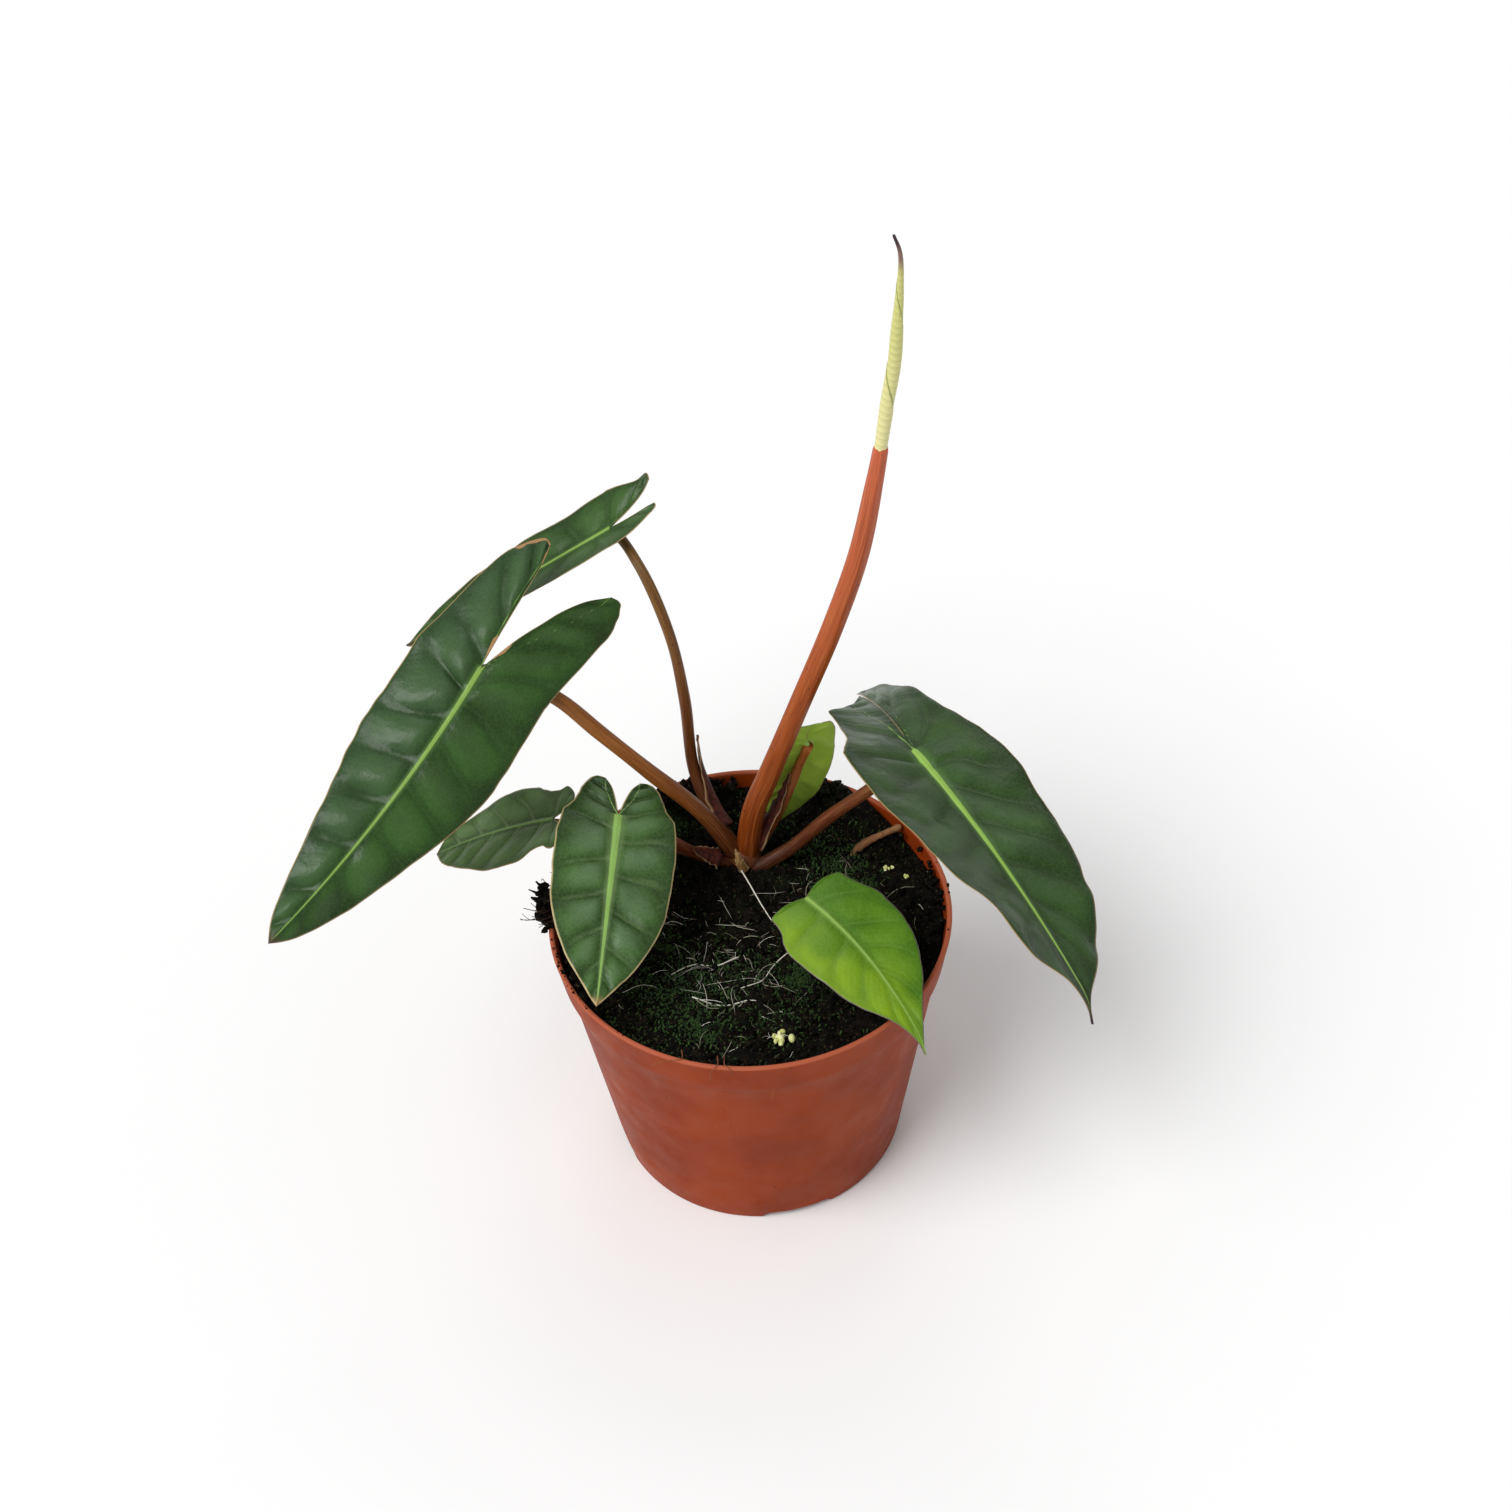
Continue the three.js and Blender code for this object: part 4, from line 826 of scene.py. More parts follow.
# ---------- operators ----------
class PLANT_OT_pot(bpy.types.Operator):
    """Turn the pot from its profile, lift its foot at the four gaps and drill the drain holes"""
    bl_idname = "plant.pot"
    bl_label = "Pot"

    def execute(self, context):
        look = context.scene.plant_pot
        wall = look.wall / MM
        outside, inside = pot_outside, lambda z: pot_outside(z) - wall
        floor_top = FOOT_HEIGHT + wall
        lip = np.linspace(0, np.pi, 13)
        rim = float(outside(POT_HEIGHT)) - wall / 2
        side_z = np.linspace(1.2, COLLAR_BOTTOM - 1.0, 10)
        fillet = np.linspace(0, 1, 5)
        profile = [(0, 0), (PAD_RADIUS - 1, 0), (PAD_RADIUS, 0.1), (PAD_RADIUS + 1.3, FOOT_HEIGHT - 0.2),
                   (PAD_RADIUS + 1.6, FOOT_HEIGHT), (POT_BASE_RADIUS - FOOT_WIDTH - 0.2, FOOT_HEIGHT),
                   (POT_BASE_RADIUS - FOOT_WIDTH, FOOT_HEIGHT - 0.3),
                   (POT_BASE_RADIUS - FOOT_WIDTH + 0.1, 0.3), (POT_BASE_RADIUS - FOOT_WIDTH + 0.5, 0),
                   (POT_BASE_RADIUS - 0.9, 0), (POT_BASE_RADIUS - 0.25, 0.25)]
        profile += [(float(outside(z)), z) for z in side_z]
        profile += [(float(outside(COLLAR_BOTTOM - 1)) + COLLAR_STEP * step(0, 1, f),
                     COLLAR_BOTTOM - 1 + 1.2 * f) for f in fillet[1:]]
        profile += [(float(outside(z)), z) for z in np.linspace(COLLAR_BOTTOM + 1, POT_HEIGHT - wall / 2, 6)]
        profile += [(rim + wall / 2 * np.cos(a), POT_HEIGHT - wall / 2 + wall / 2 * np.sin(a)) for a in lip]
        profile += [(float(inside(z)), z) for z in np.linspace(POT_HEIGHT - wall, COLLAR_BOTTOM + 1, 6)]
        profile += [(float(inside(COLLAR_BOTTOM - 1)) + COLLAR_STEP * step(1, 0, f),
                     COLLAR_BOTTOM + 0.2 - 1.2 * f) for f in fillet]
        profile += [(float(inside(z)), z) for z in side_z[::-1][1:-1] if z > floor_top + 2]
        profile += [(float(inside(floor_top + 1)), floor_top + 1), (float(inside(floor_top)) - 1, floor_top),
                    (PAD_RADIUS + 0.4, floor_top), (PAD_RADIUS - 1.2, wall), (0, wall)]
        r, z = np.array(profile, float).T
        count = look.segments
        angle = np.arange(count) / count * TURN
        pitch = TURN / FOOT_GAPS
        near = np.abs((angle - FOOT_GAP_TURN + pitch / 2) % pitch - pitch / 2) * POT_BASE_RADIUS
        gap = step(11.2, 9.4, near)
        foot = (r > POT_BASE_RADIUS - FOOT_WIDTH - 1) & (r < POT_BASE_RADIUS + 1) & (z < FOOT_HEIGHT)
        height = z[:, None] + gap[None] * foot[:, None] * (FOOT_HEIGHT - z[:, None])
        rings = np.stack([r[:, None] * np.cos(angle), r[:, None] * np.sin(angle), height], -1)
        pot = make_piece("nursery_pot", rings.reshape(-1, 3), [grid_faces(len(r), count, closed=True)],
                         "pot_plastic", terracotta_plastic(), ["pot"], sharp=35)
        self.drill(pot, floor_top)
        return {"FINISHED"}

    def drill(self, pot, floor_top):
        """Round drain holes through the floor, between its pad and its foot."""
        middle = (PAD_RADIUS + 1.5 + POT_BASE_RADIUS - FOOT_WIDTH) / 2
        flats = 24
        a = np.arange(flats) / flats * TURN
        points, faces = [], []
        for i in range(DRAIN_HOLES):
            turn = (i + 0.5) / DRAIN_HOLES * TURN
            x = middle * np.cos(turn) + DRAIN_RADIUS * np.cos(a)
            y = middle * np.sin(turn) + DRAIN_RADIUS * np.sin(a)
            first = len(points) * flats
            points += [np.column_stack([x, y, np.full(flats, z)]) for z in (FOOT_HEIGHT - 1, floor_top + 1)]
            faces += grid_faces(2, flats, closed=True, first=first).tolist()
            faces += [list(range(first + flats - 1, first - 1, -1)),
                      list(range(first + flats, first + 2 * flats))]
        mesh = bpy.data.meshes.new("drills")
        mesh.from_pydata((np.concatenate(points) * MM).tolist(), [], faces)
        drills = bpy.data.objects.new("drills", mesh)
        bpy.context.scene.collection.objects.link(drills)
        cut = pot.modifiers.new("drain_holes", "BOOLEAN")
        cut.operation, cut.object, cut.solver = "DIFFERENCE", drills, "EXACT"
        bpy.context.view_layer.update()
        drilled = bpy.data.meshes.new_from_object(pot.evaluated_get(bpy.context.evaluated_depsgraph_get()))
        pot.modifiers.clear()
        pot.data = drilled
        drilled.set_sharp_from_angle(angle=np.radians(35))
        bpy.data.objects.remove(drills)


class PLANT_OT_peat(bpy.types.Operator):
    """Fill the pot with peat, and strew crumbs on it and over the rim"""
    bl_idname = "plant.peat"
    bl_label = "Peat"

    def execute(self, context):
        look = context.scene.plant_peat
        rng = np.random.default_rng(11)
        rough = look.roughness / MM
        skin = milled_peat("milled_peat", "050403", "16110b")
        sides, gap = 360, 0.35  # gap between the peat and the pot
        wall = context.scene.plant_pot.wall / MM
        inside = lambda z: float(pot_outside(z)) - wall - gap
        angle = np.arange(sides) / sides * TURN
        edge = inside(SOIL_LEVEL)
        far = edge * np.linspace(1, 0, 90)[:, None] ** 0.9
        x, y = far * np.cos(angle), far * np.sin(angle)
        calm = step(1.0, 0.93, far / edge)
        top = peat_height(x, y) + rough * calm * (
            0.9 * grain(x, y, 4.5, 1) + 0.8 * grain(x, y, 2.2, 2) + 0.6 * grain(x, y, 1.1, 3))
        flat = lambda r, z: np.stack([r * np.cos(angle), r * np.sin(angle), np.full(sides, float(z))], -1)
        floor_top = FOOT_HEIGHT + wall
        low = [flat(0.0, wall + gap), flat(PAD_RADIUS - 1.6, wall + gap), flat(PAD_RADIUS, floor_top + 0.3),
               flat(inside(floor_top) - 1, floor_top + 0.3), flat(inside(floor_top + 1), floor_top + 1.3),
               flat(inside(COLLAR_BOTTOM - 1), COLLAR_BOTTOM - 1),
               flat(inside(COLLAR_BOTTOM + 1), COLLAR_BOTTOM + 1)]
        rings = np.concatenate([np.stack(low), np.stack([x, y, top], -1)])
        make_piece("peat_fill", rings.reshape(-1, 3), [grid_faces(len(rings), sides, closed=True)], "peat",
                   skin, ["peat"])
        # loose crumbs, most of them small
        count = look.crumbs
        turn, out = rng.uniform(0, TURN, count), edge * np.sqrt(rng.uniform(0, 0.97, count))
        size = 0.35 + 1.1 * rng.uniform(0, 1, count) ** 3
        place = on_peat(np.column_stack([out * np.cos(turn), out * np.sin(turn)]))
        place[:, 2] += rough * 0.6 * grain(place[:, 0], place[:, 1], 4.5, 1) + size * 0.4
        make_piece("peat_crumbs", *lumps(place, size, rng)[:2], "peat", skin, weld=False)
        # heaps that stand above the rim behind the plant, and crumbs caught along the rim
        heaps = []
        for turn, span, lift, number in ((1.97, 0.22, 4.2, 240), (1.08, 0.17, 4.4, 200),
                                         (-2.6, 0.25, 0.2, 40), (0.15, 0.3, -0.6, 50)):
            at, inwards = rng.normal(turn, span * 0.6, number), np.abs(rng.normal(0, 3.5, number))
            reach = POT_RADIUS - 2.4 - inwards
            top = POT_HEIGHT - 1.6 + lift * np.exp(-((at - turn) / span) ** 2) * rng.uniform(0, 1, number)
            heaps.append(np.column_stack([reach * np.cos(at), reach * np.sin(at), top]))
        number = 46
        caught = np.abs(rng.normal(0, 1, number))
        turn = np.where(rng.uniform(0, 1, number) < 0.75, np.pi + 0.12 + 0.3 * caught, 0.5 - 0.5 * caught)
        reach = POT_RADIUS - 0.9 + rng.normal(0, 0.3, number)
        heaps.append(np.column_stack([reach * np.cos(turn), reach * np.sin(turn),
                                      np.full(number, POT_HEIGHT)]))
        spots = np.concatenate(heaps)
        coarse = 0.5 + 1.3 * rng.uniform(0, 1, len(spots) - number) ** 2
        sizes = np.r_[coarse, 0.2 + 0.5 * rng.uniform(0, 1, number) ** 3]
        make_piece("peat_heaps", *lumps(spots, sizes, rng, 0.45)[:2], "peat", skin, weld=False)
        # a clump of bark and peat that clings to the rim on the left and sends out blunt spikes
        parts = []
        for y, z, out, up, along, thick in ((1, 0.6, 5, 0.2, -2, 2.2), (5, 1.0, 6.5, 1.4, 4, 2.4),
                                            (8, 1.2, 5, 3, 7, 1.7), (4, 1.4, 3, 3.6, 1, 1.7),
                                            (-1, 0.4, 3, -1, -5, 1.5), (7, 0.6, 7.5, 0.6, 8, 1.2)):
            start = np.array([-POT_RADIUS + 1.2, y, POT_HEIGHT + z])
            end = start + (-out, along * 0.6, up)
            route = np.stack([start, (start + end) / 2 + rng.normal(0, 0.5, 3), end])
            knobbly = lambda at, angle: 1 + 0.25 * np.sin(3 * angle + 17 * at) * np.sin(23 * at + angle)
            parts.append(tube(path_through(route, 24), thick * np.linspace(1, 0.12, 24), 10, shape=knobbly))
        points, faces, _ = together(parts)
        number = 70
        spots = np.array([-POT_RADIUS - 1.2, 4, POT_HEIGHT + 1.4])
        spots = spots + rng.normal(0, 1, (number, 3)) * (1.1, 3.4, 0.9)
        spots[:, 2] = np.maximum(spots[:, 2], POT_HEIGHT + 0.2)
        crumbs, crumb_faces, _ = lumps(spots, rng.uniform(0.4, 1.1, number), rng, 0.45)
        make_piece("peat_over_rim", np.concatenate([points, crumbs]), [*faces, crumb_faces[0] + len(points)],
                   "peat", skin, ["peat_clump_left"], weld=False)
        return {"FINISHED"}


class PLANT_OT_ground_cover(bpy.types.Operator):
    """Grow moss in patches, and set the pale nodules on the peat"""
    bl_idname = "plant.ground_cover"
    bl_label = "Moss and nodules"
    farthest = 55  # from the middle of the pot
    # x, y and radius of each patch, and of each bed of film with its thickness
    patches = ((-27, -6, 6), (-14, -40, 7), (14, -22, 6), (33, 14, 6), (-22, 42, 6))
    film = ((-20, -26, 26, 4), (8, -26, 24, 2), (-34, 14, 18, 1), (30, -10, 18, 1.6), (26, 22, 16, 1.8),
            (6, 44, 12, 0.6))
    # x, y, radius and number of grains
    nodules = ((7, -44, 2.4, 17), (42.5, 19.5, 1.4, 7), (47.5, 15.5, 1.3, 6))

    def execute(self, context):
        rng = np.random.default_rng(5)
        green = shaded("moss_leaflets", "121d0b", "34501f", 0.8)
        beds = [(f"moss_patch_{i + 1}", *patch, 1, [f"moss_{i + 1}"]) for i, patch in enumerate(self.patches)]
        beds += [(f"moss_film_{i + 1}", *bed, ()) for i, bed in enumerate(self.film)]
        for name, x, y, radius, thick, nodes in beds:
            count = int(context.scene.plant_peat.moss * thick)
            spot = rng.normal(0, 0.45, (count, 2)) * radius + (x, y)
            spot *= np.minimum(1, self.farthest / np.linalg.norm(spot, axis=1, keepdims=True))
            root = on_peat(spot, 0.2)
            # each leaflet is a bent strip of two cells, 1 to 2 mm long
            lean = rng.uniform(0, TURN, count)
            way = np.column_stack([np.cos(lean), np.sin(lean), rng.uniform(0.5, 1.6, count)])
            side = np.column_stack([-np.sin(lean), np.cos(lean), np.zeros(count)])
            long = rng.uniform(0.9, 1.9, count)[:, None]
            strip = []
            for share, wide, drop in ((0, 0.16, 0), (0.55, 0.26, 0), (1, 0.03, 0.25)):
                middle = root + unit(way) * long * share - (0, 0, 1) * long * drop
                strip += [middle - side * wide, middle + side * wide]
            upper = np.stack(strip, 1)
            points = np.concatenate([upper, upper - (0, 0, 0.06)], 1).reshape(-1, 3)
            corners = 2 * len(strip)
            shell = np.array([(0, 1, 3, 2), (2, 3, 5, 4), (8, 9, 7, 6), (10, 11, 9, 8), (0, 6, 7, 1),
                              (4, 5, 11, 10), (0, 2, 8, 6), (2, 4, 10, 8), (1, 7, 9, 3), (3, 9, 11, 5)])
            faces = (shell[None] + (np.arange(count) * corners)[:, None, None]).reshape(-1, 4)
            make_piece(name, points, [faces], "moss", green, nodes,
                       marks={"shade": np.repeat(rng.uniform(0, 1, count), corners)}, weld=False)
        pale = shaded("pale_nodules", "b4b860", "f0f2b8", 0.5, 0.8)
        for i, (x, y, radius, count) in enumerate(self.nodules):
            spot = on_peat(rng.normal(0, 0.42, (count, 2)) * radius + (x, y), 0.9)
            points, faces, marks = lumps(spot, rng.uniform(0.35, 0.6, count) * radius, rng, 0.1)
            piece = make_piece(f"nodules_{i + 1}", points, faces, "pellet", pale, [f"pellet_{i + 1}"],
                               marks=marks, weld=False)
            rounder = piece.modifiers.new("round", "SUBSURF")
            rounder.levels = rounder.render_levels = 2
        return {"FINISHED"}


class PLANT_OT_fine_roots(bpy.types.Operator):
    """Lay fine pale roots on the peat, and the long white one that leaves the crown"""
    bl_idname = "plant.fine_roots"
    bl_label = "Fine roots"
    long_roots = (((-4, -13), (-10, -16), (-17, -15), (-24, -19)), ((12, -12), (6, -17), (2, -23), (-6, -26)),
                  ((-18, -28), (-9, -31), (0, -30), (8, -34)), ((30, 2), (36, -2), (40, -9), (45, -12)))

    def execute(self, context):
        rng = np.random.default_rng(23)
        pale = shaded("fine_roots", "8c8064", "f2eee2", 0.7, 1.0, 0.02)
        for i, route in enumerate(self.long_roots):
            path = path_through(on_peat(route, 0.5), 40)
            path[:, 2] = peat_height(path[:, 0], path[:, 1]) + 0.6 + 0.4 * np.sin(np.linspace(0, 9, 40) + i)
            points, faces, _ = tube(path, np.linspace(0.22, 0.12, 40), 6, towards=(0, 0, 1))
            make_piece(f"creeping_root_{i + 1}", points, faces, "root", pale, [f"surface_root_{i + 1}"],
                       marks={"shade": np.full(len(points), 0.7)})
        line = np.concatenate([from_crown([(-1.5, -5.5, 2)]), on_peat([(0, 15)], 1.4), on_peat([(4, 5)], 0.8),
                               on_peat([(8.5, -4)], -0.6)])
        points, faces, _ = tube(path_through(line, 50), np.linspace(0.26, 0.12, 50), 8, towards=(0, 0, 1))
        make_piece("crown_root", points, faces, "root", pale, ["aerial_root"],
                   marks={"shade": np.full(len(points), 0.9)})
        count = context.scene.plant_peat.strands
        groups = ((-10, -14, 16, 0.4), (-2, -36, 16, 0.2), (-34, 2, 12, 0.15), (26, 6, 18, 0.25))
        sizes = [int(count * share) for *_, share in groups]
        starts = np.concatenate([rng.normal(0, 0.55, (n, 2)) * spread + (x, y)
                                 for n, (x, y, spread, _) in zip(sizes, groups)])
        farthest = 50
        starts *= np.minimum(1, farthest / np.linalg.norm(starts, axis=1, keepdims=True))
        total = len(starts)
        headings = rng.uniform(0, TURN, total)
        lengths = 3 + 13 * rng.uniform(0, 1, total) ** 2
        points, faces, marks = strands(starts, headings, lengths, rng.uniform(0.04, 0.1, total), rng)
        make_piece("root_hairs", points, faces, "root", pale, marks=marks)
        # dark hairs that hang over the rim with the clump on the left, and three over the front
        hairs = []
        for i in range(26):
            start = np.array([-POT_RADIUS + rng.uniform(-1, 6), rng.uniform(-4, 12),
                              POT_HEIGHT + rng.uniform(1.5, 4.5)])
            reach = rng.uniform(3, 9)
            bend = rng.normal(0, 2.2, (3, 3))
            way = unit(np.array([-1.0, rng.uniform(-0.9, 0.9), rng.uniform(-0.6, 0.5)])) * reach
            route = start + np.linspace(0, 1, 4)[:, None] * way
            route[1:] += bend * (0.15, 0.3, 0.3)
            hairs.append(tube(path_through(route, 9), rng.uniform(0.08, 0.14), 4, towards=(0.1, 0.3, 1)))
        for x, out, across, down in ((-21, 0.5, -9, 1.6), (-11, 1.5, -2.5, 5), (-9, 1.2, 2, 2.5)):
            start = np.array([x, -np.sqrt((POT_RADIUS - 1) ** 2 - x * x), POT_HEIGHT + 0.4])
            route = start + np.array([(0, 3, 0.2), (0, 0, 0), (0.6 * across, -out, -0.2),
                                      (across, -out - 0.4, -down)])
            hairs.append(tube(path_through(route, 14), 0.14, 4, towards=(0.1, 0.3, 1)))
        points, faces, _ = together(hairs)
        dark = shaded("dark_hairs", "2a1810", "8a5434", 0.8)
        make_piece("dark_hairs", points, faces, "root", dark, marks={"shade": step(-40, -30, points[:, 0])})
        return {"FINISHED"}


class PLANT_OT_crown(bpy.types.Operator):
    """Build the stem, the sheaths that clasp the petioles and the dry stub"""
    bl_idname = "plant.crown"
    bl_label = "Crown"

    def execute(self, context):
        skin = petiole_skin("woody_stem", "3a2014", "5a3018", "6e3a1e", 0.6)
        path = path_through(from_crown([(0, 0, -32), (0.5, 1, -16), (0, 0, 6)]), 60)
        t = np.linspace(0, 1, 60)
        rings = lambda at, angle: 1 + 0.06 * np.abs(np.sin(at * 40)) + 0.05 * np.sin(3 * angle + at * 30)
        points, faces, marks = tube(path, 5 * (0.7 + 0.3 * np.sqrt(t)), 32, shape=rings)
        make_piece("stem_core", points, faces, "sheath", skin, ["stem"], marks=marks)
        red = sheath_skin("red_sheath", "34140e", "5e281a", "b8946a")
        dry = sheath_skin("dry_sheath", "8a6238", "b89460", "e2d0a4")
        sheaths = (
            ("rear_sheath", "sheath", red, "sheath_rear",
             dict(route=((-6, 8.5, 4.8), (-9.3, 12.8, 8.4), (-14, 19.5, 20), (-15.2, 21, 33)),
                  radii=(3.3, 2.5), spreads=(1.9, 0.5), facing=(1, 0.2, 0.3), seed=3)),
            ("front_left_sheath", "sheath", red, "sheath_front_left",
             dict(route=((-8.6, -2.2, 3.4), (-11.2, -2.7, 4.9), (-17, -3.8, 9.6)),
                  radii=(3.0, 2.2), spreads=(1.25, 0.4), facing=(0.3, -0.6, 1), seed=5)),
            ("small_rear_sheath", "dry_sheath", red, "sheath_small_rear",
             dict(route=((4.8, 1.6, 4.6), (6.8, 2.3, 8), (13.1, 5, 19.8), (16.8, 7.2, 28.8)),
                  radii=(3.0, 2.1), spreads=(1.2, 0.4), facing=(-1, -0.6, 0.6), seed=7)),
            ("crown_sheath", "dry_sheath", dry, "sheath_crown",
             dict(route=((-0.5, -4.6, 1), (-1.4, -5.2, 5), (-2.6, -4.6, 10.5)),
                  radii=(1.5, 0.8), spreads=(1.3, 0.5), facing=(0, -1, 0.2), seed=9)),
        )
        for name, slot, material, node, form in sheaths:
            points, faces, marks = clasp(**form)
            make_piece(name, points, faces, slot, material, [node], marks=marks)
        # the stub of an old petiole, broken off at the rim
        reach, turn = POT_RADIUS - 2.6, np.radians(34)
        end = [reach * np.cos(turn), reach * np.sin(turn), SOIL_LEVEL + 6]
        route = np.concatenate([on_peat([(31, 25.5)], -3), on_peat([(35, 27.5)], 1), [end]])
        crooked = lambda at, angle: 1 + 0.08 * np.sin(2 * angle + 9 * at) + 0.05 * np.sin(at * 50)
        points, faces, marks = tube(path_through(route, 50), np.linspace(1.25, 1.0, 50), 16, shape=crooked)
        make_piece("old_stub", points, faces, "dry_sheath",
                   petiole_skin("dry_petiole", "5f3d26", "8a5a3a", "a87a50", 0.7), ["petiole_stub"],
                   marks=marks)
        return {"FINISHED"}


class PLANT_OT_petioles(bpy.types.Operator):
    """Raise the seven petioles, the newest one and the leaf still rolled up in it"""
    bl_idname = "plant.petioles"
    bl_label = "Petioles and rolled leaf"

    def execute(self, context):
        for name, stalk in PETIOLES.items():
            points, faces, marks = petiole_tube(name)
            make_piece(f"stalk_{name}", points, faces, "petiole",
                       petiole_skin(f"petiole_skin_{name}", *stalk["colours"]), [f"petiole_{name}"],
                       marks=marks)
        count = 140
        t = np.linspace(0, 1, count)
        path = path_through(from_crown(NEW_PETIOLE["route"]), count)
        ribs = lambda at, angle: 1 + 0.025 * np.sin(7 * angle + 2 * at)
        fluted = lambda at, angle: ribs(at, angle) - 0.06 * np.clip(np.cos(angle - 1.2), 0, 1) ** 8
        points, faces, marks = tube(path, spline(NEW_PETIOLE["radii"], t), 40, shape=fluted)
        make_piece("newest_stalk", points, faces, "new_petiole",
                   petiole_skin("newest_petiole_skin", "733209", "a44c16", "c45f3c", 0.4), ["petiole_newest"],
                   marks=marks)
        points, faces, marks = rolled_tube()
        make_piece("rolled_blade", points, faces, "rolled_leaf", self.rolled_skin(), ["leaf_rolled"],
                   marks=marks)
        return {"FINISHED"}

    def rolled_skin(self):
        """A blade still rolled up: pale and matt, with the edge of the roll and fine veins crossing it
        in a slow spiral, and a dark tip."""
        material, tree, shader = start_material("rolled_blade_skin", Roughness=0.5, IOR=1.45,
                                                Specular_IOR_Level=0.3)
        along, turn = (add(tree, "Attribute", out="Fac", attribute_name=key) for key in ("along", "turn"))
        wound = add(tree, "Math", {0: along, 1: ROLL_TURNS, 2: turn}, operation="MULTIPLY_ADD")
        wound = add(tree, "Math", {0: wound}, operation="FRACT")
        veins = add(tree, "Math", {0: along, 1: 34.0, 2: turn}, operation="MULTIPLY_ADD")
        veins = add(tree, "Math", {0: veins, 1: TURN}, operation="MULTIPLY")
        veins = add(tree, "Math", {0: veins}, operation="SINE")
        colour = layer(tree, "e4dda0", "cfcd80", along, 0.0, 0.7)
        colour = layer(tree, colour, "a3a860", veins, 0.6, 1.0, 0.3)
        colour = layer(tree, colour, "7d8a44", wound, 0.06, 0.0)
        colour = layer(tree, colour, "8a6a60", along, 0.8, 0.9)
        colour = layer(tree, colour, "3a2a30", along, 0.9, 0.98)
        finish_skin(tree, shader, colour, (veins, 0.05))
        return material


class PLANT_OT_leaves(bpy.types.Operator):
    """Spread the seven leaf blades with their veins, folds and margins"""
    bl_idname = "plant.leaves"
    bl_label = "Leaves"

    def execute(self, context):
        share = context.scene.plant_leaf.relief
        for seed, (name, leaf) in enumerate(LEAVES.items()):
            shaped = dict(leaf, quilt=tuple(share * q for q in leaf["quilt"]), waves=share * leaf["waves"])
            points, faces, marks = leaf_blade(shaped, 40 + 7 * seed)
            slot = "young_leaf" if name in ("front_right", "small_rear") else "leaf"
            make_piece(f"leaf_{name}", points, faces, slot, leaf_skin(f"glossy_leaf_{name}", leaf["look"]),
                       [f"blade_{name}"], marks=marks)
        return {"FINISHED"}


class PLANT_OT_buried_roots(bpy.types.Operator):
    """Give the roots inside the peat their finish"""
    bl_idname = "plant.buried_roots"
    bl_label = "Buried roots"

    def execute(self, context):
        # corky skin of a live root: pale tan with brown scabs and a dry, slightly rough surface
        material, tree, shader = start_material("live_root_bark", Roughness=0.75, IOR=1.45)
        colour = layer(tree, "cbb694", "9a7d55", speckle(tree, 3, 3), 0.4, 0.65)
        finish_skin(tree, shader, colour, (speckle(tree, 1.0, 2), 0.1))
        for i in range(BURIED_ROOTS):
            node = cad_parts[f"root_{i + 1}"]
            node.data.materials.clear()
            node.data.materials.append(material)
        return {"FINISHED"}


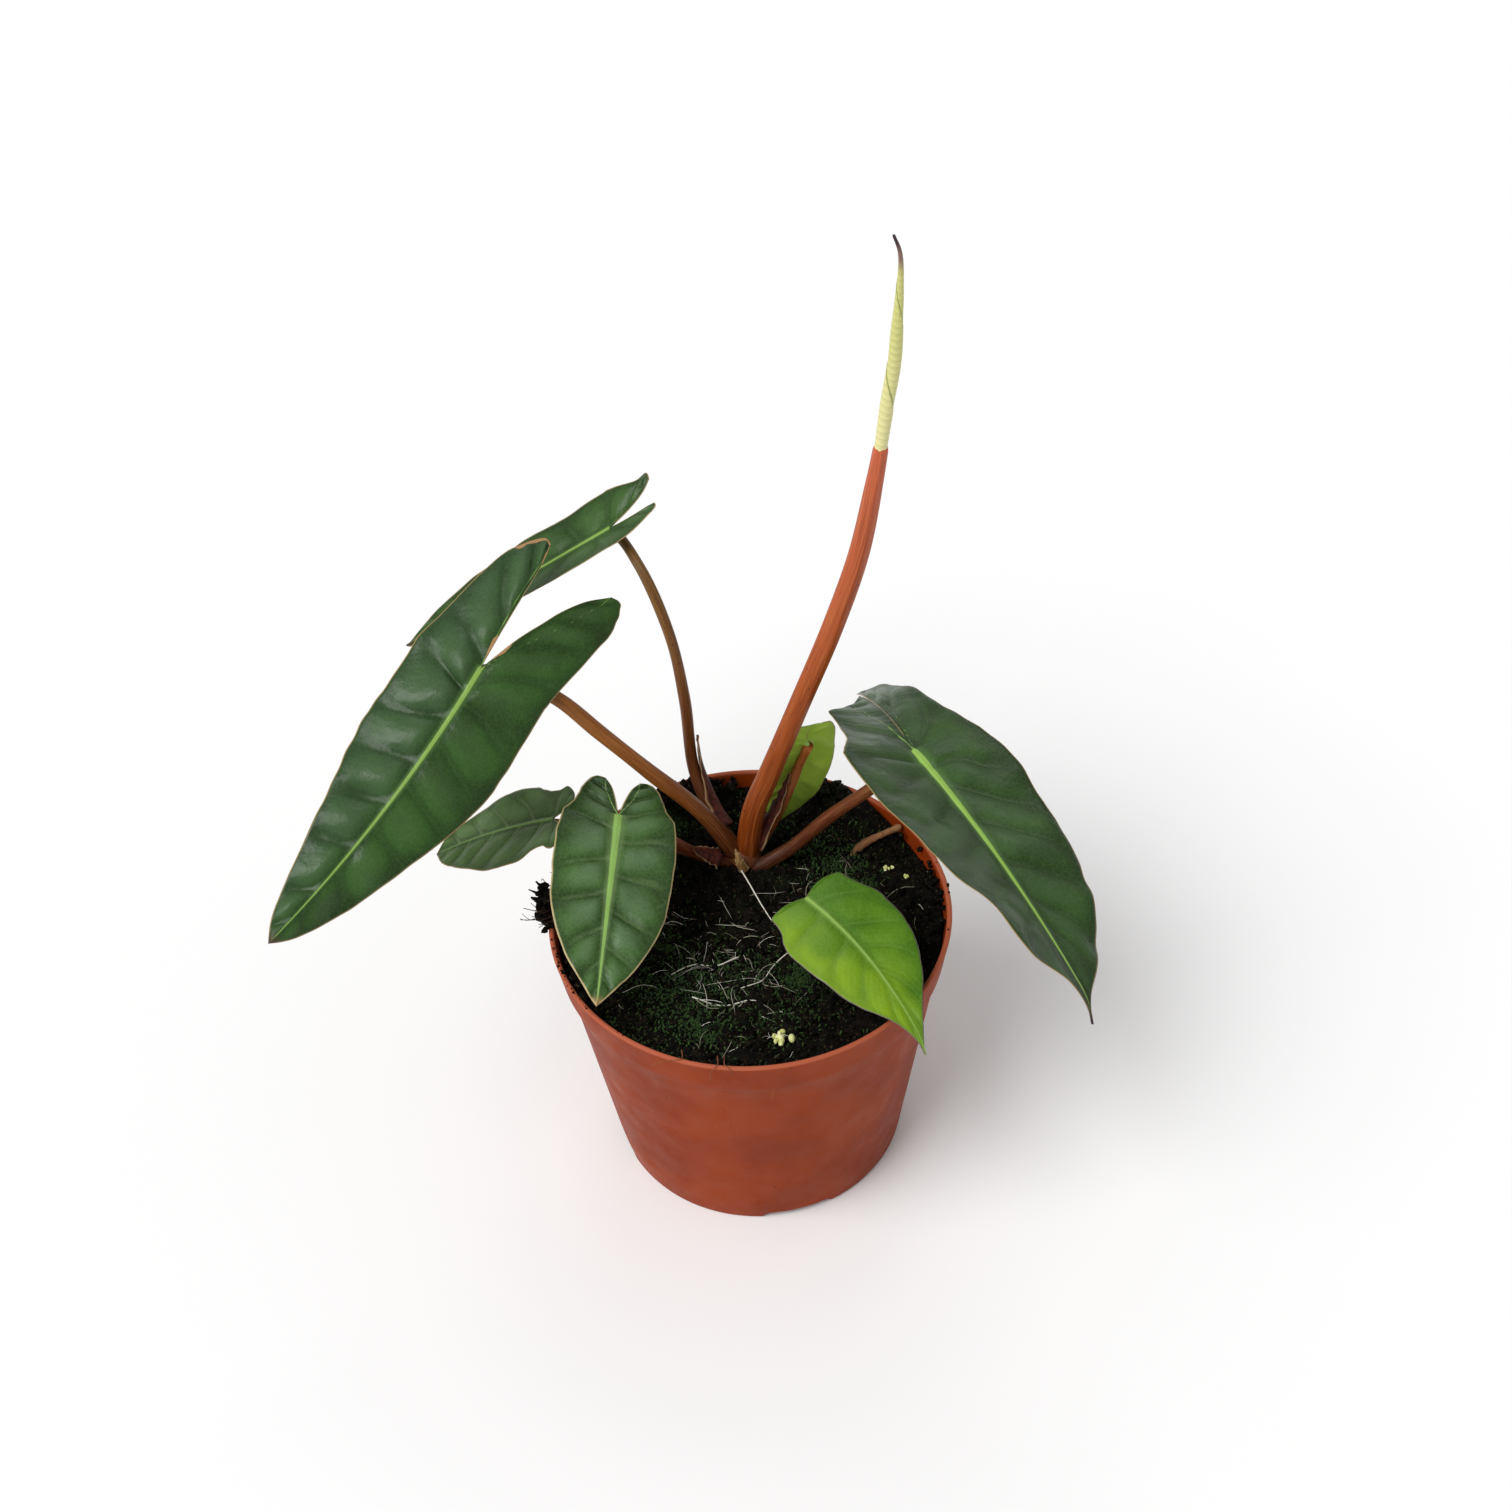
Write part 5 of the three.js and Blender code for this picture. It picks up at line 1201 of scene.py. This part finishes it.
class PLANT_OT_stage(bpy.types.Operator):
    """Lay the floor, hang the lights and set up the camera"""
    bl_idname = "plant.stage"
    bl_label = "Stage"

    def execute(self, context):
        scene = context.scene
        look = scene.plant_stage
        # a sheet of matt paper: nearly white and rough, so that it takes only soft shadows
        material, *_ = start_material("matt_paper_floor", Roughness=0.9, Base_Color=(*look.floor, 1))
        wide = 6  # metres from the middle to each side
        mesh = bpy.data.meshes.new("floor")
        corners = [(-wide, -wide, 0), (wide, -wide, 0), (wide, wide, 0), (-wide, wide, 0)]
        mesh.from_pydata(corners, [], [(0, 1, 2, 3)])
        mesh.materials.append(material)
        floor = bpy.data.objects.new("floor", mesh)
        scene.collection.objects.link(floor)
        floor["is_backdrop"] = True
        world = bpy.data.worlds.new("studio")
        scene.world = world
        world.use_nodes = True
        sky = world.node_tree.nodes["Background"].inputs
        sky["Color"].default_value = (1, 1, 1, 1)
        sky["Strength"].default_value = look.sky_power
        lights = (("key", (-0.52, -0.36, 0.77), 40, look.key_power),
                  ("rear", (0.1, 0.7, 0.7), 30, look.key_power * 0.12))
        for name, place, spread, power in lights:
            lamp = bpy.data.lights.new(name, "SUN")
            lamp.angle, lamp.energy = np.radians(spread), power
            holder = bpy.data.objects.new(name, lamp)
            holder.location = place
            holder.rotation_euler = Vector(place).to_track_quat("Z", "Y").to_euler()
            scene.collection.objects.link(holder)
        lens = bpy.data.cameras.new("camera")
        lens.sensor_width, lens.lens = 36, look.lens
        lens.clip_start, lens.clip_end = 0.01, 20
        camera = bpy.data.objects.new("camera", lens)
        # the camera looks down at a target in the plant, rolled a little, from that many millimetres
        elevation, roll, away = np.radians(44.12), np.radians(-2.9), 668.22
        target = np.array([4.09, 0, 155.51])
        back = np.array([0, -np.cos(elevation), np.sin(elevation)])
        right = np.array([1.0, 0, 0])
        up = np.cross(back, right)
        axes = np.column_stack([np.cos(roll) * right + np.sin(roll) * up,
                                np.cos(roll) * up - np.sin(roll) * right, back])
        place = Matrix(axes.tolist()).to_4x4()
        place.translation = Vector((target + back * away) * MM)
        camera.matrix_world = place
        scene.collection.objects.link(camera)
        scene.camera = camera
        scene.view_settings.view_transform = "Standard"
        return {"FINISHED"}


class PLANT_PT_sidebar(bpy.types.Panel):
    """The plant's pieces and settings"""
    bl_idname = "PLANT_PT_sidebar"
    bl_label = "Potted Philodendron"
    bl_space_type = "VIEW_3D"
    bl_region_type = "UI"
    bl_category = "Plant"

    def draw(self, context):
        for operator in OPERATORS:
            self.layout.operator(operator.bl_idname)
        for key, group in SETTINGS.items():
            for name in group.__annotations__:
                self.layout.prop(getattr(context.scene, key), name)


SETTINGS = {"plant_pot": PotSettings, "plant_peat": PeatSettings, "plant_leaf": LeafSettings,
            "plant_stage": StageSettings}
OPERATORS = (PLANT_OT_stage, PLANT_OT_pot, PLANT_OT_peat, PLANT_OT_ground_cover, PLANT_OT_fine_roots,
             PLANT_OT_crown, PLANT_OT_petioles, PLANT_OT_leaves, PLANT_OT_buried_roots)


def register():
    for group in (*SETTINGS.values(), *OPERATORS, PLANT_PT_sidebar):
        bpy.utils.register_class(group)
    for key, group in SETTINGS.items():
        setattr(bpy.types.Scene, key, PointerProperty(type=group))


def unregister():
    for key in SETTINGS:
        delattr(bpy.types.Scene, key)
    for group in (PLANT_PT_sidebar, *reversed(OPERATORS), *reversed(SETTINGS.values())):
        bpy.utils.unregister_class(group)


def main():
    register()
    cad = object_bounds()
    for operator in OPERATORS:
        group, name = operator.bl_idname.split(".")
        getattr(getattr(bpy.ops, group), name)()
    bpy.context.view_layer.update()
    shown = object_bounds()
    {"cad": [list(corner) for corner in cad], "visual": [list(corner) for corner in shown]}


if __name__ == "__main__":
    main()
